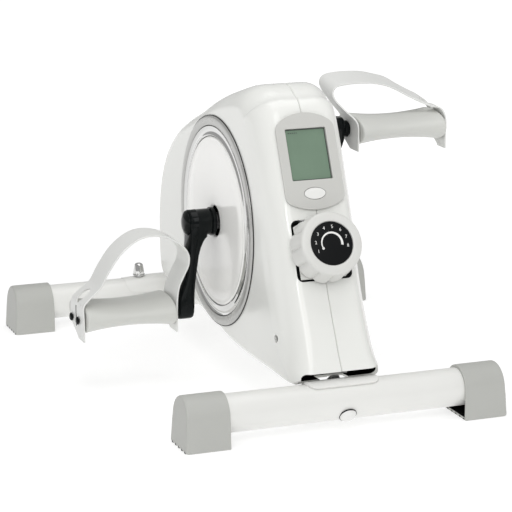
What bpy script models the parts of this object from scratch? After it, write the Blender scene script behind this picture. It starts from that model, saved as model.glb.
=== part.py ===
"""A pedal exerciser: two pedals on cranks, a magnetically braked flywheel in a two-part shell, and a console.

X runs along the crank axle, -Y is the user's side with the console, and Z is up from the floor.
"""

from math import acos, atan2, cos, pi, radians, sin

import bmesh
import bpy
from mathutils import Matrix, Vector

# Stance: two cross tubes on the floor
BAR_SPACING = 0.452
FRONT_BAR = 0.335
REAR_BAR = 0.425
TUBE_R = 0.019
TUBE_WALL = 0.0015
TUBE_Z = 0.029
CAP_LENGTH = 0.045
CAP_WIDTH = 0.048
CAP_CROWN_R = 0.0215
TUBE_IN_CAP = 0.028
SADDLE_T = 0.002

# Crank and pedals
AXLE_Z = 0.162
AXLE_R = 0.0085
CRANK = 0.0875
HUB_R = 0.0137
HUB_IN = 0.056
HUB_OUT = 0.080
BOSS_IN = 0.0745
BOSS_OUT = 0.0935
PEDAL_IN = 0.1025
PEDAL_OUT = 0.198
SPINDLE_R = 0.006
STRAP_T = 0.0018
STRAP_HALF_WIDTH = 0.019
STUD_PLACES = (("front", -0.0120, 0.0020), ("rear", 0.0108, 0.0035))
BEARINGS = {"left": (-0.0335, -0.0255), "right": (0.0020, 0.0100)}

# Shell and its round side covers
SHELL_HALF = 0.047
WALL = 0.0025
COVER_R = 0.088
RING_SPLIT_R = 0.0985
RING_R = 0.1095
SHELL_SCREWS = {"left": (-0.170, 0.080), "right": (-0.128, 0.205)}

# Front panel: its origin on the seam just under the console, its tilt from vertical
PANEL_Y = -0.1579
PANEL_Z = 0.2037
PANEL_TILT = radians(24.9)
KNOB_V = -0.0397

# Flywheel and belt drive
FLYWHEEL_Y = 0.100
FLYWHEEL_Z = 0.145
FLYWHEEL_R = 0.062
PULLEY_R = 0.045
SMALL_PULLEY_R = 0.012
BELT_T = 0.0015
PIVOT_Y = 0.052
PIVOT_Z = 0.2065

GAP = 0.0003
CLOSE = 0.0001

COLOURS = {
    "white_paint": ((0.83, 0.83, 0.80), 0.30, 0.0),
    "white_plastic": ((0.86, 0.86, 0.84), 0.22, 0.0),
    "grey_plastic": ((0.55, 0.55, 0.52), 0.45, 0.0),
    "light_plastic": ((0.68, 0.68, 0.65), 0.45, 0.0),
    "black_plastic": ((0.012, 0.013, 0.014), 0.25, 0.0),
    "strap": ((0.70, 0.70, 0.68), 0.50, 0.0),
    "chrome": ((0.75, 0.75, 0.75), 0.08, 1.0),
    "steel": ((0.45, 0.45, 0.46), 0.35, 1.0),
    "cast_iron": ((0.12, 0.12, 0.13), 0.50, 1.0),
    "rubber": ((0.02, 0.02, 0.02), 0.60, 0.0),
    "lcd": ((0.20, 0.27, 0.21), 0.15, 0.0),
    "circuit": ((0.02, 0.16, 0.06), 0.45, 0.0),
}


# Scene and small helpers

def clear_scene():
    for obj in list(bpy.data.objects):
        bpy.data.objects.remove(obj)


def make_collection(name):
    collection = bpy.data.collections.new(name)
    bpy.context.scene.collection.children.link(collection)
    return collection


def make_material(name, look):
    colour, roughness, metallic = COLOURS[look]
    material = bpy.data.materials.new(name)
    material.use_nodes = True
    shader = material.node_tree.nodes["Principled BSDF"]
    shader.inputs["Base Color"].default_value = (*colour, 1.0)
    shader.inputs["Roughness"].default_value = roughness
    shader.inputs["Metallic"].default_value = metallic
    return material


def add_object(name, shape, look, collection=None):
    """A mesh object from a bmesh; without a look it is a cutter."""
    bmesh.ops.recalc_face_normals(shape, faces=shape.faces)
    mesh = bpy.data.meshes.new(name)
    shape.to_mesh(mesh)
    shape.free()
    obj = bpy.data.objects.new(name, mesh)
    if look is None:
        CUTTERS.objects.link(obj)
        obj.hide_render = True
        obj.display_type = "WIRE"
        return obj
    PARTS.objects.link(obj)
    mesh.shade_smooth()
    mesh.set_sharp_from_angle(angle=radians(32))
    mesh.materials.append(make_material(name, look))
    return obj


def box(name, low, high, look=None):
    shape = bmesh.new()
    bmesh.ops.create_cube(shape, size=1.0)
    size = Vector(high) - Vector(low)
    middle = (Vector(high) + Vector(low)) / 2
    bmesh.ops.scale(shape, vec=size, verts=shape.verts)
    bmesh.ops.translate(shape, vec=middle, verts=shape.verts)
    return add_object(name, shape, look)


def cylinder(name, radius, start, end, look=None, sides=24):
    """A cylinder from start to end."""
    start, end = Vector(start), Vector(end)
    axis = end - start
    shape = bmesh.new()
    bmesh.ops.create_cone(
        shape,
        cap_ends=True,
        segments=sides,
        radius1=radius,
        radius2=radius,
        depth=axis.length,
    )
    turn = axis.to_track_quat("Z", "Y").to_matrix().to_4x4()
    bmesh.ops.transform(shape, matrix=Matrix.Translation((start + end) / 2) @ turn, verts=shape.verts)
    return add_object(name, shape, look)


def turned(name, profile, start, axis, look, sides=32):
    """A solid of revolution about axis through start; profile holds (radius, height) from top to bottom."""
    mesh = bpy.data.meshes.new(name)
    shape = bmesh.new()
    corners = [shape.verts.new((radius, 0.0, height)) for radius, height in profile]
    for first, second in zip(corners, corners[1:]):
        shape.edges.new((first, second))
    shape.to_mesh(mesh)
    shape.free()
    obj = bpy.data.objects.new(name, mesh)
    PARTS.objects.link(obj)
    screw = obj.modifiers.new("Turn", "SCREW")
    screw.steps = sides
    screw.render_steps = sides
    screw.use_merge_vertices = True
    screw.merge_threshold = CLOSE
    screw.use_smooth_shade = True
    obj.rotation_mode = "QUATERNION"
    obj.rotation_quaternion = Vector(axis).to_track_quat("Z", "Y")
    obj.location = start
    mesh.materials.append(make_material(name, look))
    return obj


def round_edges(obj, width, segments):
    bevel = obj.modifiers.new("Rounded edges", "BEVEL")
    bevel.width = width
    bevel.segments = segments
    bevel.limit_method = "ANGLE"
    bevel.angle_limit = radians(40)
    return obj


def combine(obj, other, operation="DIFFERENCE"):
    """Cuts other from obj, or joins it on; a joined piece becomes a helper."""
    boolean = obj.modifiers.new(operation.title(), "BOOLEAN")
    boolean.operation = operation
    boolean.object = other
    if operation == "UNION":
        PARTS.objects.unlink(other)
        CUTTERS.objects.link(other)
        other.hide_render = True
        other.display_type = "WIRE"
    return obj


def loft(name, rings, look):
    """A closed solid through rings of equally many points, its first and last ring capped."""
    shape = bmesh.new()
    loops = [[shape.verts.new(point) for point in ring] for ring in rings]
    count = len(loops[0])
    for low, high in zip(loops, loops[1:]):
        for i in range(count):
            j = (i + 1) % count
            shape.faces.new((low[i], low[j], high[j], high[i]))
    shape.faces.new(loops[0])
    shape.faces.new(loops[-1])
    bmesh.ops.triangulate(shape, faces=[face for face in shape.faces if len(face.verts) == 4])
    return add_object(name, shape, look)


def plate(name, outline, holes, thickness, look, matrix):
    """A flat outline with holes, extruded along the local Z of matrix and centred on it."""
    curve = bpy.data.curves.new(name, "CURVE")
    curve.dimensions = "2D"
    curve.fill_mode = "BOTH"
    curve.extrude = thickness / 2
    for points in [outline, *holes]:
        spline = curve.splines.new("POLY")
        spline.points.add(len(points) - 1)
        for point, (u, v) in zip(spline.points, points):
            point.co = (u, v, 0.0, 1.0)
        spline.use_cyclic_u = True
    obj = bpy.data.objects.new(name, curve)
    bpy.context.scene.collection.objects.link(obj)
    obj.matrix_world = matrix
    return curve_to_solid(obj, name, look)


def curve_to_solid(obj, name, look):
    """Turns a curve object into a welded mesh object in the parts, or among the cutters."""
    bpy.context.view_layer.update()
    evaluated = obj.evaluated_get(bpy.context.evaluated_depsgraph_get())
    mesh = bpy.data.meshes.new_from_object(evaluated)
    shape = bmesh.new()
    shape.from_mesh(mesh)
    bmesh.ops.remove_doubles(shape, verts=shape.verts, dist=1e-5)
    bmesh.ops.transform(shape, matrix=obj.matrix_world, verts=shape.verts)
    bpy.data.objects.remove(obj)
    return add_object(name, shape, look)


def wire(name, points, radius, look):
    """A round wire through points."""
    curve = bpy.data.curves.new(name, "CURVE")
    curve.dimensions = "3D"
    curve.bevel_depth = radius
    curve.bevel_resolution = 2
    curve.use_fill_caps = True
    spline = curve.splines.new("POLY")
    spline.points.add(len(points) - 1)
    for point, place in zip(spline.points, points):
        point.co = (*place, 1.0)
    obj = bpy.data.objects.new(name, curve)
    bpy.context.scene.collection.objects.link(obj)
    return curve_to_solid(obj, name, look)


def circle(radius, sides=32, middle=(0.0, 0.0)):
    turns = [2 * pi * i / sides for i in range(sides)]
    return [(middle[0] + radius * cos(t), middle[1] + radius * sin(t)) for t in turns]


def spline_points(points, steps, closed=True):
    """A Catmull-Rom curve through points, as many tuples."""
    count = len(points)
    result = []
    for i in range(count if closed else count - 1):
        if closed:
            four = [points[(i + k) % count] for k in (-1, 0, 1, 2)]
        else:
            four = [points[min(max(i + k, 0), count - 1)] for k in (-1, 0, 1, 2)]
        a, b, c, d = (Vector(p) for p in four)
        for k in range(steps):
            t = k / steps
            result.append(
                0.5 * (2 * b + (c - a) * t + (2 * a - 5 * b + 4 * c - d) * t**2 + (3 * b - a - 3 * c + d) * t**3)
            )
    if not closed:
        result.append(Vector(points[-1]))
    return [tuple(p) for p in result]


def group(name, place, children, parent=None):
    """An empty at place that carries the children."""
    empty = bpy.data.objects.new(name, None)
    empty.empty_display_size = 0.02
    PARTS.objects.link(empty)
    empty.location = place
    bpy.context.view_layer.update()
    for child in children:
        child.parent = empty
        child.matrix_parent_inverse = empty.matrix_world.inverted()
    if parent:
        empty.parent = parent
        empty.matrix_parent_inverse = parent.matrix_world.inverted()
    return empty


# Cross tubes, end caps, saddles and their bolts

def cap_outline():
    """The end cap's section: a round crown on sides that flare to a flat sole."""
    crown_z = TUBE_Z + 0.0005
    half = CAP_WIDTH / 2
    crown = [
        (CAP_CROWN_R * cos(t), crown_z + CAP_CROWN_R * sin(t))
        for t in (pi * i / 10 for i in range(11))
    ]
    return [(half - 0.001, 0.0), (half, 0.001), (half - 0.0008, 0.010), *crown] + [
        (0.0008 - half, 0.010),
        (-half, 0.001),
        (0.001 - half, 0.0),
    ]


def end_cap(name, side, bar_length, y):
    outer = side * bar_length / 2
    inner = side * (bar_length / 2 - CAP_LENGTH)

    def ring(x, shrink):
        middle = TUBE_Z * 0.8
        return [
            (x, y + u * (1 - shrink), middle + (v - middle) * (1 - shrink) if v > 0.002 else v)
            for u, v in cap_outline()
        ]

    stations = ((inner, 0.0), (outer - side * 0.004, 0.0), (outer - side * 0.001, 0.04), (outer, 0.10))
    cap = loft(name, [ring(x, shrink) for x, shrink in stations], "grey_plastic")
    socket = cylinder(
        name + "_socket",
        TUBE_R + GAP,
        (inner - side * 0.01, y, TUBE_Z),
        (inner + side * (TUBE_IN_CAP + GAP), y, TUBE_Z),
        sides=28,
    )
    return combine(cap, socket)


def cross_tube(name, bar_length, y, bolts):
    half = bar_length / 2 - CAP_LENGTH + TUBE_IN_CAP
    tube = cylinder(name, TUBE_R, (-half, y, TUBE_Z), (half, y, TUBE_Z), "white_paint", sides=28)
    bore = cylinder(
        name + "_bore", TUBE_R - TUBE_WALL, (-half - 0.01, y, TUBE_Z), (half + 0.01, y, TUBE_Z), sides=28
    )
    combine(tube, bore)
    for bolt in bolts:
        combine(tube, bolt)
    return tube


def saddle(name, y, half_length, start, end, bolts):
    """A plate rolled round the top of a cross tube, from angle start to angle end."""
    inner = TUBE_R + GAP
    steps = 12
    turns = [start + (end - start) * i / steps for i in range(steps + 1)]
    outline = [((inner + SADDLE_T) * cos(t), (inner + SADDLE_T) * sin(t)) for t in turns]
    outline += [(inner * cos(t), inner * sin(t)) for t in reversed(turns)]
    ring = [(y + u, TUBE_Z + v) for u, v in outline]
    bent = loft(name, [[(x, *p) for p in ring] for x in (-half_length, half_length)], "white_paint")
    for bolt in bolts:
        combine(bent, bolt)
    return bent


def carriage_bolt(name, x, y, direction, reach):
    """A round-headed bolt through the tube; direction points from the tube's middle to the head."""
    middle = Vector((x, y, TUBE_Z))
    seat = TUBE_R + GAP
    profile = [(0.0, seat + 0.0045), (0.0045, seat + 0.0038), (0.0080, seat + 0.0020), (0.0095, seat)]
    profile += [(0.0040, seat), (0.0040, -reach), (0.0, -reach)]
    return turned(name, profile, middle, direction, "steel", sides=20)


def bolt_hole(name, x, y, direction):
    middle = Vector((x, y, TUBE_Z))
    reach = Vector(direction) * 0.03
    return cylinder(name, 0.0043, middle - reach, middle + reach, sides=16)


def hexagon(radius):
    return circle(radius / cos(pi / 6), 6)


def nut(name, x, y, direction, start, height, look, dome=0.0):
    """A hexagon nut round the bolt, its seat at start from the tube's middle along direction."""
    direction = Vector(direction).normalized()
    base = Vector((x, y, TUBE_Z)) + direction * start
    turn = direction.to_track_quat("Z", "Y").to_matrix().to_4x4()
    place = Matrix.Translation(base + direction * height / 2) @ turn
    holes = [] if dome else [circle(0.0043, 16)]
    body = plate(name, hexagon(0.0062), holes, height, look, place)
    if dome:
        top = base + direction * (height - GAP)
        cap = turned(
            name + "_dome",
            [(0.0, dome), (0.0028, dome - 0.0006), (0.0050, dome * 0.45), (0.0056, 0.0), (0.0, 0.0)],
            top,
            direction,
            look,
            sides=20,
        )
        combine(body, cap, "UNION")
        bore = cylinder(
            name + "_bore", 0.0043, base - direction * 0.001, base + direction * (height + 0.001), sides=16
        )
        combine(body, bore)
    return body


def build_stance():
    front_y = -BAR_SPACING / 2
    rear_y = BAR_SPACING / 2
    tilt = 0.62
    ahead = Vector((0.0, -cos(tilt), -sin(tilt)))
    down = Vector((0.0, 0.0, -1.0))
    rear_x = 0.061
    seat = TUBE_R + GAP + SADDLE_T + GAP
    front_hole = bolt_hole("front_bolt_hole", 0.0, front_y, ahead)
    rear_holes = [bolt_hole(f"rear_bolt_hole_{i}", x, rear_y, down) for i, x in enumerate((-rear_x, rear_x))]
    cross_tube("front_stabilizer_tube", FRONT_BAR, front_y, [front_hole])
    cross_tube("rear_stabilizer_tube", REAR_BAR, rear_y, rear_holes)
    saddle("front_saddle", front_y, 0.038, radians(22), radians(140), [front_hole])
    saddle("rear_saddle", rear_y, 0.080, radians(40), radians(163), rear_holes)
    for side, word in ((-1, "left"), (1, "right")):
        end_cap(f"front_{word}_foot_cap", side, FRONT_BAR, front_y)
        end_cap(f"rear_{word}_foot_cap", side, REAR_BAR, rear_y)
        carriage_bolt(f"rear_{word}_carriage_bolt", side * rear_x, rear_y, down, seat + 0.0082)
        nut(f"rear_{word}_dome_nut", side * rear_x, rear_y, -down, seat, 0.0075, "chrome", 0.0070)
    carriage_bolt("front_carriage_bolt", 0.0, front_y, ahead, seat + 0.0060)
    nut("front_bolt_nut", 0.0, front_y, -ahead, seat, 0.0050, "steel")


# Steel frame with the crank and flywheel housings

def build_frame():
    base_low = TUBE_Z + TUBE_R + GAP + SADDLE_T + GAP
    base = box("main_frame", (-0.012, -0.210, base_low), (0.012, 0.220, base_low + 0.022), "white_paint")
    web_outline = [
        (-0.019, base_low + 0.020),
        (0.128, base_low + 0.020),
        (0.118, FLYWHEEL_Z),
        (0.104, FLYWHEEL_Z + 0.018),
        (PIVOT_Y + 0.009, PIVOT_Z + 0.008),
        (PIVOT_Y - 0.006, PIVOT_Z + 0.009),
        (0.020, AXLE_Z + 0.012),
        (-0.017, AXLE_Z - 0.004),
    ]
    upright = Matrix(((0, 0, 1, 0), (1, 0, 0, 0), (0, 1, 0, 0), (0, 0, 0, 1)))
    web = plate("frame_web", web_outline, [], 0.005, "white_paint", upright)
    shell = cylinder("crank_housing", 0.018, (-0.034, 0, AXLE_Z), (0.0105, 0, AXLE_Z), "white_paint")
    boss = cylinder(
        "flywheel_housing", 0.014, (-0.010, FLYWHEEL_Y, FLYWHEEL_Z), (0.010, FLYWHEEL_Y, FLYWHEEL_Z), "white_paint"
    )
    for piece in (web, shell, boss):
        combine(base, piece, "UNION")
    combine(base, cylinder("crank_bore", 0.0123, (-0.05, 0, AXLE_Z), (0.02, 0, AXLE_Z), sides=28))
    combine(
        base,
        cylinder("flywheel_bore", 0.0103, (-0.02, FLYWHEEL_Y, FLYWHEEL_Z), (0.02, FLYWHEEL_Y, FLYWHEEL_Z)),
    )
    pin_ends = ((-0.0310, PIVOT_Y, PIVOT_Z), (0.0100, PIVOT_Y, PIVOT_Z))
    pin = cylinder("pivot_pin", 0.0030, *pin_ends, "white_paint", 16)
    combine(base, pin, "UNION")
    return base


def ring_x(name, outer, inner, x0, x1, y, z, look, sides=28):
    """A flat ring about the X axis."""
    upright = Matrix(((0, 0, 1, (x0 + x1) / 2), (1, 0, 0, y), (0, 1, 0, z), (0, 0, 0, 1)))
    return plate(name, circle(outer, sides), [circle(inner, sides)], abs(x1 - x0), look, upright)


# Crank set

def crank_arm(word, side, way):
    """A cast arm from the hub barrel to the pedal boss; way is -1 hanging down, 1 standing up."""
    stations = (
        (0.000, 0.060, 0.0797, 0.0130),
        (0.014, 0.0605, 0.0800, 0.0124),
        (0.023, 0.0640, 0.0808, 0.0110),
        (0.034, 0.0685, 0.0818, 0.0100),
        (0.048, 0.0710, 0.0828, 0.0102),
        (0.060, 0.0728, 0.0870, 0.0110),
        (0.072, BOSS_IN, 0.0920, 0.0116),
        (CRANK, BOSS_IN, BOSS_OUT, 0.0118),
        (CRANK + 0.009, BOSS_IN + 0.0003, BOSS_OUT - 0.0003, 0.0092),
        (CRANK + 0.013, BOSS_IN + 0.0015, BOSS_OUT - 0.0015, 0.0050),
    )
    rings = []
    for reach, low, high, half in stations:
        z = AXLE_Z + way * reach
        edge = 0.0022
        rings.append(
            [
                (side * low, -half + edge, z),
                (side * low, half - edge, z),
                (side * (low + edge), half, z),
                (side * (high - edge), half, z),
                (side * high, half - edge, z),
                (side * high, -half + edge, z),
                (side * (high - edge), -half, z),
                (side * (low + edge), -half, z),
            ]
        )
    arm = loft(f"{word}_crank_arm", rings, "black_plastic")
    barrel = turned(
        f"{word}_crank_hub",
        [
            (0.0, HUB_OUT - HUB_IN),
            (HUB_R, HUB_OUT - HUB_IN),
            (HUB_R, 0.0),
            (0.0149, -0.0006),
            (0.0149, -0.0046),
            (0.0, -0.0046),
        ],
        (side * HUB_IN, 0, AXLE_Z),
        (side, 0, 0),
        "black_plastic",
        28,
    )
    combine(arm, barrel, "UNION")
    bore = cylinder(
        f"{word}_crank_bore", AXLE_R + GAP, (side * 0.05, 0, AXLE_Z), (side * 0.09, 0, AXLE_Z), sides=24
    )
    combine(arm, bore)
    thread = cylinder(
        f"{word}_spindle_thread",
        SPINDLE_R + GAP,
        (side * (BOSS_IN - 0.01), 0, AXLE_Z + way * CRANK),
        (side * (BOSS_OUT + 0.01), 0, AXLE_Z + way * CRANK),
        sides=20,
    )
    return combine(arm, thread)


def crank_cap(word, side):
    profile = [(0.0, 0.0045), (0.0060, 0.0039), (0.0105, 0.0022), (0.0128, 0.0), (0.0, 0.0)]
    start = (side * (HUB_OUT + GAP), 0, AXLE_Z)
    return turned(f"{word}_crank_cap", profile, start, (side, 0, 0), "black_plastic", sides=28)


def pedal_spindle(word, side, z):
    foot = BOSS_IN + 0.001
    profile = [
        (0.0, 0.192 - foot),
        (SPINDLE_R, 0.191 - foot),
        (SPINDLE_R, 0.0978 - foot),
        (0.0088, 0.0978 - foot),
        (0.0088, BOSS_OUT + GAP - foot),
        (SPINDLE_R, BOSS_OUT + GAP - foot),
        (SPINDLE_R, 0.0),
        (0.0, 0.0),
    ]
    start = (side * foot, 0, z)
    return turned(f"{word}_pedal_spindle", profile, start, (side, 0, 0), "black_plastic", sides=20)


def pedal_body(word, side, z):
    """A tread that is waisted along its length, with its edges and ends rounded."""
    rings = []
    for along, end in ((0.0, 0.0022), (0.015, 0.0006), (0.04, 0.0), (0.18, 0.0), (0.34, 0.0), (0.5, 0.0)) + (
        (0.66, 0.0),
        (0.82, 0.0),
        (0.96, 0.0),
        (0.985, 0.0006),
        (1.0, 0.0022),
    ):
        waist = 4 * along * (1 - along)
        half_height = 0.0155 - 0.0042 * waist - end
        half_depth = 0.0370 - 0.0030 * waist - end
        x = side * (PEDAL_IN + (PEDAL_OUT - PEDAL_IN) * along)
        ring = []
        for t in (2 * pi * k / 20 for k in range(20)):
            u = abs(cos(t)) ** 0.62 * (1 if cos(t) > 0 else -1)
            v = abs(sin(t)) ** 0.50 * (1 if sin(t) > 0 else -1)
            ring.append((x, half_depth * u, z + half_height * v))
        rings.append(ring)
    body = loft(f"{word}_pedal", rings, "grey_plastic")
    bore_ends = ((side * 0.09, 0, z), (side * 0.1925, 0, z))
    bore = cylinder(f"{word}_pedal_bore", SPINDLE_R + 0.0005, *bore_ends, sides=20)
    return combine(body, bore)


# Each place on a strap: along the axle, height over the spindle, shift back, rear edge over the middle
STRAP_PATHS = {
    "left": [
        (0.1006, -0.0200, -0.003, 0.0),
        (0.1006, -0.0040, -0.003, 0.0),
        (0.1002, 0.0090, -0.003, 0.0),
        (0.0970, 0.0240, -0.003, 0.0),
        (0.0905, 0.0380, -0.003, 0.0),
        (0.0855, 0.0490, -0.003, 0.0),
        (0.0860, 0.0600, -0.003, 0.0),
        (0.0935, 0.0700, -0.003, 0.0),
        (0.1085, 0.0790, -0.003, 0.0),
        (0.1270, 0.0820, -0.003, 0.0),
        (0.1430, 0.0775, -0.003, 0.0),
        (0.1590, 0.0650, -0.003, 0.0),
        (0.1720, 0.0470, -0.003, 0.0),
        (0.1810, 0.0315, -0.003, 0.0),
        (0.1940, 0.0210, -0.003, 0.0),
        (0.1998, 0.0135, -0.003, 0.0),
        (0.2000, -0.0040, -0.003, 0.0),
        (0.2000, -0.0215, -0.003, 0.0),
    ],
    "right": [
        (0.1006, -0.0200, -0.003, 0.0),
        (0.1006, -0.0040, -0.003, 0.0),
        (0.1004, 0.0080, -0.002, 0.0),
        (0.0985, 0.0140, 0.001, 0.0005),
        (0.0950, 0.0190, 0.006, 0.0010),
        (0.0912, 0.0255, 0.014, 0.0020),
        (0.0878, 0.0330, 0.024, 0.0030),
        (0.0874, 0.0400, 0.030, 0.0035),
        (0.0920, 0.0460, 0.031, 0.0035),
        (0.1030, 0.0485, 0.029, 0.0035),
        (0.1180, 0.0490, 0.028, 0.0035),
        (0.1330, 0.0480, 0.028, 0.0035),
        (0.1480, 0.0445, 0.028, 0.0035),
        (0.1600, 0.0400, 0.026, 0.0030),
        (0.1720, 0.0330, 0.021, 0.0020),
        (0.1820, 0.0275, 0.013, 0.0010),
        (0.1905, 0.0235, 0.007, 0.0005),
        (0.1972, 0.0190, 0.001, 0.0),
        (0.2003, 0.0120, -0.003, 0.0),
        (0.2003, -0.0040, -0.003, 0.0),
        (0.2003, -0.0230, -0.003, 0.0),
    ],
}


def strap(word, side, z):
    """A band up from the pedal's inner end, over the foot and down its outer end."""
    path = [Vector(place) for place in spline_points(STRAP_PATHS[word], 2, closed=False)]
    last = len(path) - 1
    rings = []
    for i, (along, height, shift, tilt) in enumerate(path):
        ahead = path[min(i + 1, last)] - path[max(i - 1, 0)]
        out = Vector((-ahead[1], ahead[0])).normalized() * STRAP_T / 2
        rings.append(
            [
                (
                    side * (along + face * out.x),
                    shift + edge * STRAP_HALF_WIDTH,
                    z + height + face * out.y + edge * tilt,
                )
                for edge, face in ((-1, -1), (1, -1), (1, 1), (-1, 1))
            ]
        )
    band = loft(f"{word}_foot_strap", rings, "strap")
    hole = cylinder(f"{word}_strap_hole", 0.0075, (side * 0.096, 0, z), (side * 0.110, 0, z), sides=20)
    return combine(band, hole)


def strap_stud(name, side, y, z, band):
    neck = cylinder(name + "_neck_hole", 0.0026, (side * 0.190, y, z), (side * 0.206, y, z), sides=12)
    combine(band, neck)
    profile = [
        (0.0, 0.0050),
        (0.0030, 0.0045),
        (0.0042, 0.0033),
        (0.0042, 0.0022),
        (0.0022, 0.0022),
        (0.0022, -0.0010),
        (0.0, -0.0010),
    ]
    start = (side * (PEDAL_OUT + 0.0015), y, z)
    return turned(name, profile, start, (side, 0, 0), "black_plastic", sides=14)


def build_cranks():
    spinning = [
        cylinder("crank_axle", AXLE_R, (-0.0795, 0, AXLE_Z), (0.0795, 0, AXLE_Z), "steel"),
        ring_x("drive_pulley", PULLEY_R, AXLE_R + GAP, 0.0130, 0.0230, 0, AXLE_Z, "black_plastic", 40),
    ]
    crank = group("crank_joint", (0, 0, AXLE_Z), [])
    for side, word, way in ((-1, "left", -1), (1, "right", 1)):
        z = AXLE_Z + way * CRANK
        spinning += [crank_arm(word, side, way), crank_cap(word, side), pedal_spindle(word, side, z)]
        ring_x(f"{word}_crank_bearing", 0.0120, AXLE_R + GAP, *BEARINGS[word], 0, AXLE_Z, "steel")
        band = strap(word, side, z)
        studs = [
            strap_stud(f"{word}_strap_stud_{place}", side, y, z - drop, band) for place, y, drop in STUD_PLACES
        ]
        group(f"{word}_pedal_joint", (side * PEDAL_IN, 0, z), [pedal_body(word, side, z), band, *studs], crank)
    for piece in spinning:
        piece.parent = crank
        piece.matrix_parent_inverse = crank.matrix_world.inverted()


# Flywheel, belt and magnetic brake

def belt_loop(pulley, small, sides=20):
    """The outline of a belt round both pulleys, in Y and Z."""
    apart = Vector((FLYWHEEL_Y, FLYWHEEL_Z - AXLE_Z))
    heading = atan2(apart.y, apart.x)
    spread = acos((pulley - small) / apart.length)
    big = [heading + spread + (2 * pi - 2 * spread) * i / sides for i in range(sides + 1)]
    little = [heading - spread + 2 * spread * i / 8 for i in range(9)]
    loop = [(pulley * cos(t), AXLE_Z + pulley * sin(t)) for t in big]
    loop += [(FLYWHEEL_Y + small * cos(t), FLYWHEEL_Z + small * sin(t)) for t in little]
    return loop


def build_flywheel():
    y, z = FLYWHEEL_Y, FLYWHEEL_Z
    wheel = ring_x("flywheel", FLYWHEEL_R, 0.0055, -0.0280, -0.0120, y, z, "cast_iron", 36)
    for x0, x1, tag in ((-0.040, -0.0235, "outer"), (-0.0165, -0.004, "inner")):
        dish = ring_x(f"flywheel_dish_{tag}", 0.048, 0.016, x0, x1, y, z, None, 24)
        combine(wheel, dish)
    axle = turned(
        "flywheel_axle",
        [
            (0.0, 0.0530),
            (SMALL_PULLEY_R, 0.0530),
            (SMALL_PULLEY_R, 0.0430),
            (0.0052, 0.0430),
            (0.0052, 0.0),
            (0.0, 0.0),
        ],
        (-0.0300, y, z),
        (1, 0, 0),
        "steel",
        24,
    )
    ring_x("flywheel_left_bearing", 0.0100, 0.0055, -0.0095, -0.0035, y, z, "steel", 24)
    ring_x("flywheel_right_bearing", 0.0100, 0.0055, 0.0035, 0.0095, y, z, "steel", 24)
    group("flywheel_joint", (0, y, z), [wheel, axle])
    inner = belt_loop(PULLEY_R + GAP, SMALL_PULLEY_R + GAP)
    outer = belt_loop(PULLEY_R + GAP + BELT_T, SMALL_PULLEY_R + GAP + BELT_T)
    upright = Matrix(((0, 0, 1, 0.0180), (1, 0, 0, 0), (0, 1, 0, 0), (0, 0, 0, 1)))
    plate("drive_belt", outer, [inner], 0.008, "rubber", upright)


def arc_band(inner, outer, start, end, steps=10):
    turns = [start + (end - start) * i / steps for i in range(steps + 1)]
    band = [(FLYWHEEL_Y + outer * cos(t), FLYWHEEL_Z + outer * sin(t)) for t in turns]
    return band + [(FLYWHEEL_Y + inner * cos(t), FLYWHEEL_Z + inner * sin(t)) for t in reversed(turns)]


def build_brake():
    keeper_in = FLYWHEEL_R + 0.0095
    upright = Matrix(((0, 0, 1, -0.0200), (1, 0, 0, 0), (0, 1, 0, 0), (0, 0, 0, 1)))
    keeper = arc_band(keeper_in, keeper_in + 0.0025, radians(45), radians(127))
    bracket = plate("magnet_bracket", keeper, [], 0.020, "steel", upright)
    eye_ends = ((-0.0300, PIVOT_Y, PIVOT_Z), (-0.0045, PIVOT_Y, PIVOT_Z))
    eye = cylinder("bracket_eye", 0.0068, *eye_ends, "steel", 20)
    combine(bracket, eye, "UNION")
    bore_ends = ((-0.04, PIVOT_Y, PIVOT_Z), (0.0, PIVOT_Y, PIVOT_Z))
    combine(bracket, cylinder("eye_bore", 0.0033, *bore_ends, sides=16))
    block = arc_band(keeper_in - GAP - 0.004, keeper_in - GAP, radians(52), radians(112), 8)
    magnet = plate("brake_magnet", block, [], 0.014, "cast_iron", upright)
    group("brake_joint", (0, PIVOT_Y, PIVOT_Z), [bracket, magnet])
    turns = 3
    steps = 9
    coil = []
    for i in range(turns * steps + 1):
        turn = 2 * pi * i / steps
        x = 0.0037 + 0.0050 * i / (turns * steps)
        coil.append((x, PIVOT_Y + 0.0044 * cos(turn), PIVOT_Z + 0.0044 * sin(turn)))
    wire("return_spring", coil, 0.0005, "steel")


# Two-part shell with round side covers

SHELL_OUTLINE = [
    (-0.2270, 0.0520),
    (-0.2150, 0.0765),
    (-0.1843, 0.1370),
    (-0.1579, 0.2037),
    (-0.1175, 0.2910),
    (-0.0985, 0.3070),
    (-0.0712, 0.3148),
    (-0.0250, 0.3020),
    (0.0180, 0.2865),
    (0.0600, 0.2685),
    (0.1040, 0.2510),
    (0.1420, 0.2320),
    (0.1730, 0.2060),
    (0.1930, 0.1740),
    (0.2025, 0.1350),
    (0.2010, 0.0900),
    (0.1880, 0.0610),
    (0.1500, 0.0545),
    (0.0652, 0.0525),
    (0.0100, 0.0475),
    (-0.0400, 0.0410),
    (-0.0900, 0.0395),
    (-0.1500, 0.0415),
    (-0.2050, 0.0430),
]


SHELL_TURNS = (90, 65, 42, 20, 0)


def blend(low, high, t):
    t = min(max(t, 0.0), 1.0)
    return low + (high - low) * t


def smoothed(values, reach):
    """Each value averaged with its neighbours round the loop, the nearest counting most."""
    result = []
    for i in range(len(values)):
        total = Vector((0, 0, 0))
        for k in range(-reach, reach + 1):
            total += values[(i + k) % len(values)] * (reach + 1 - abs(k))
        result.append(total / (reach + 1) ** 2)
    return result


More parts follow.
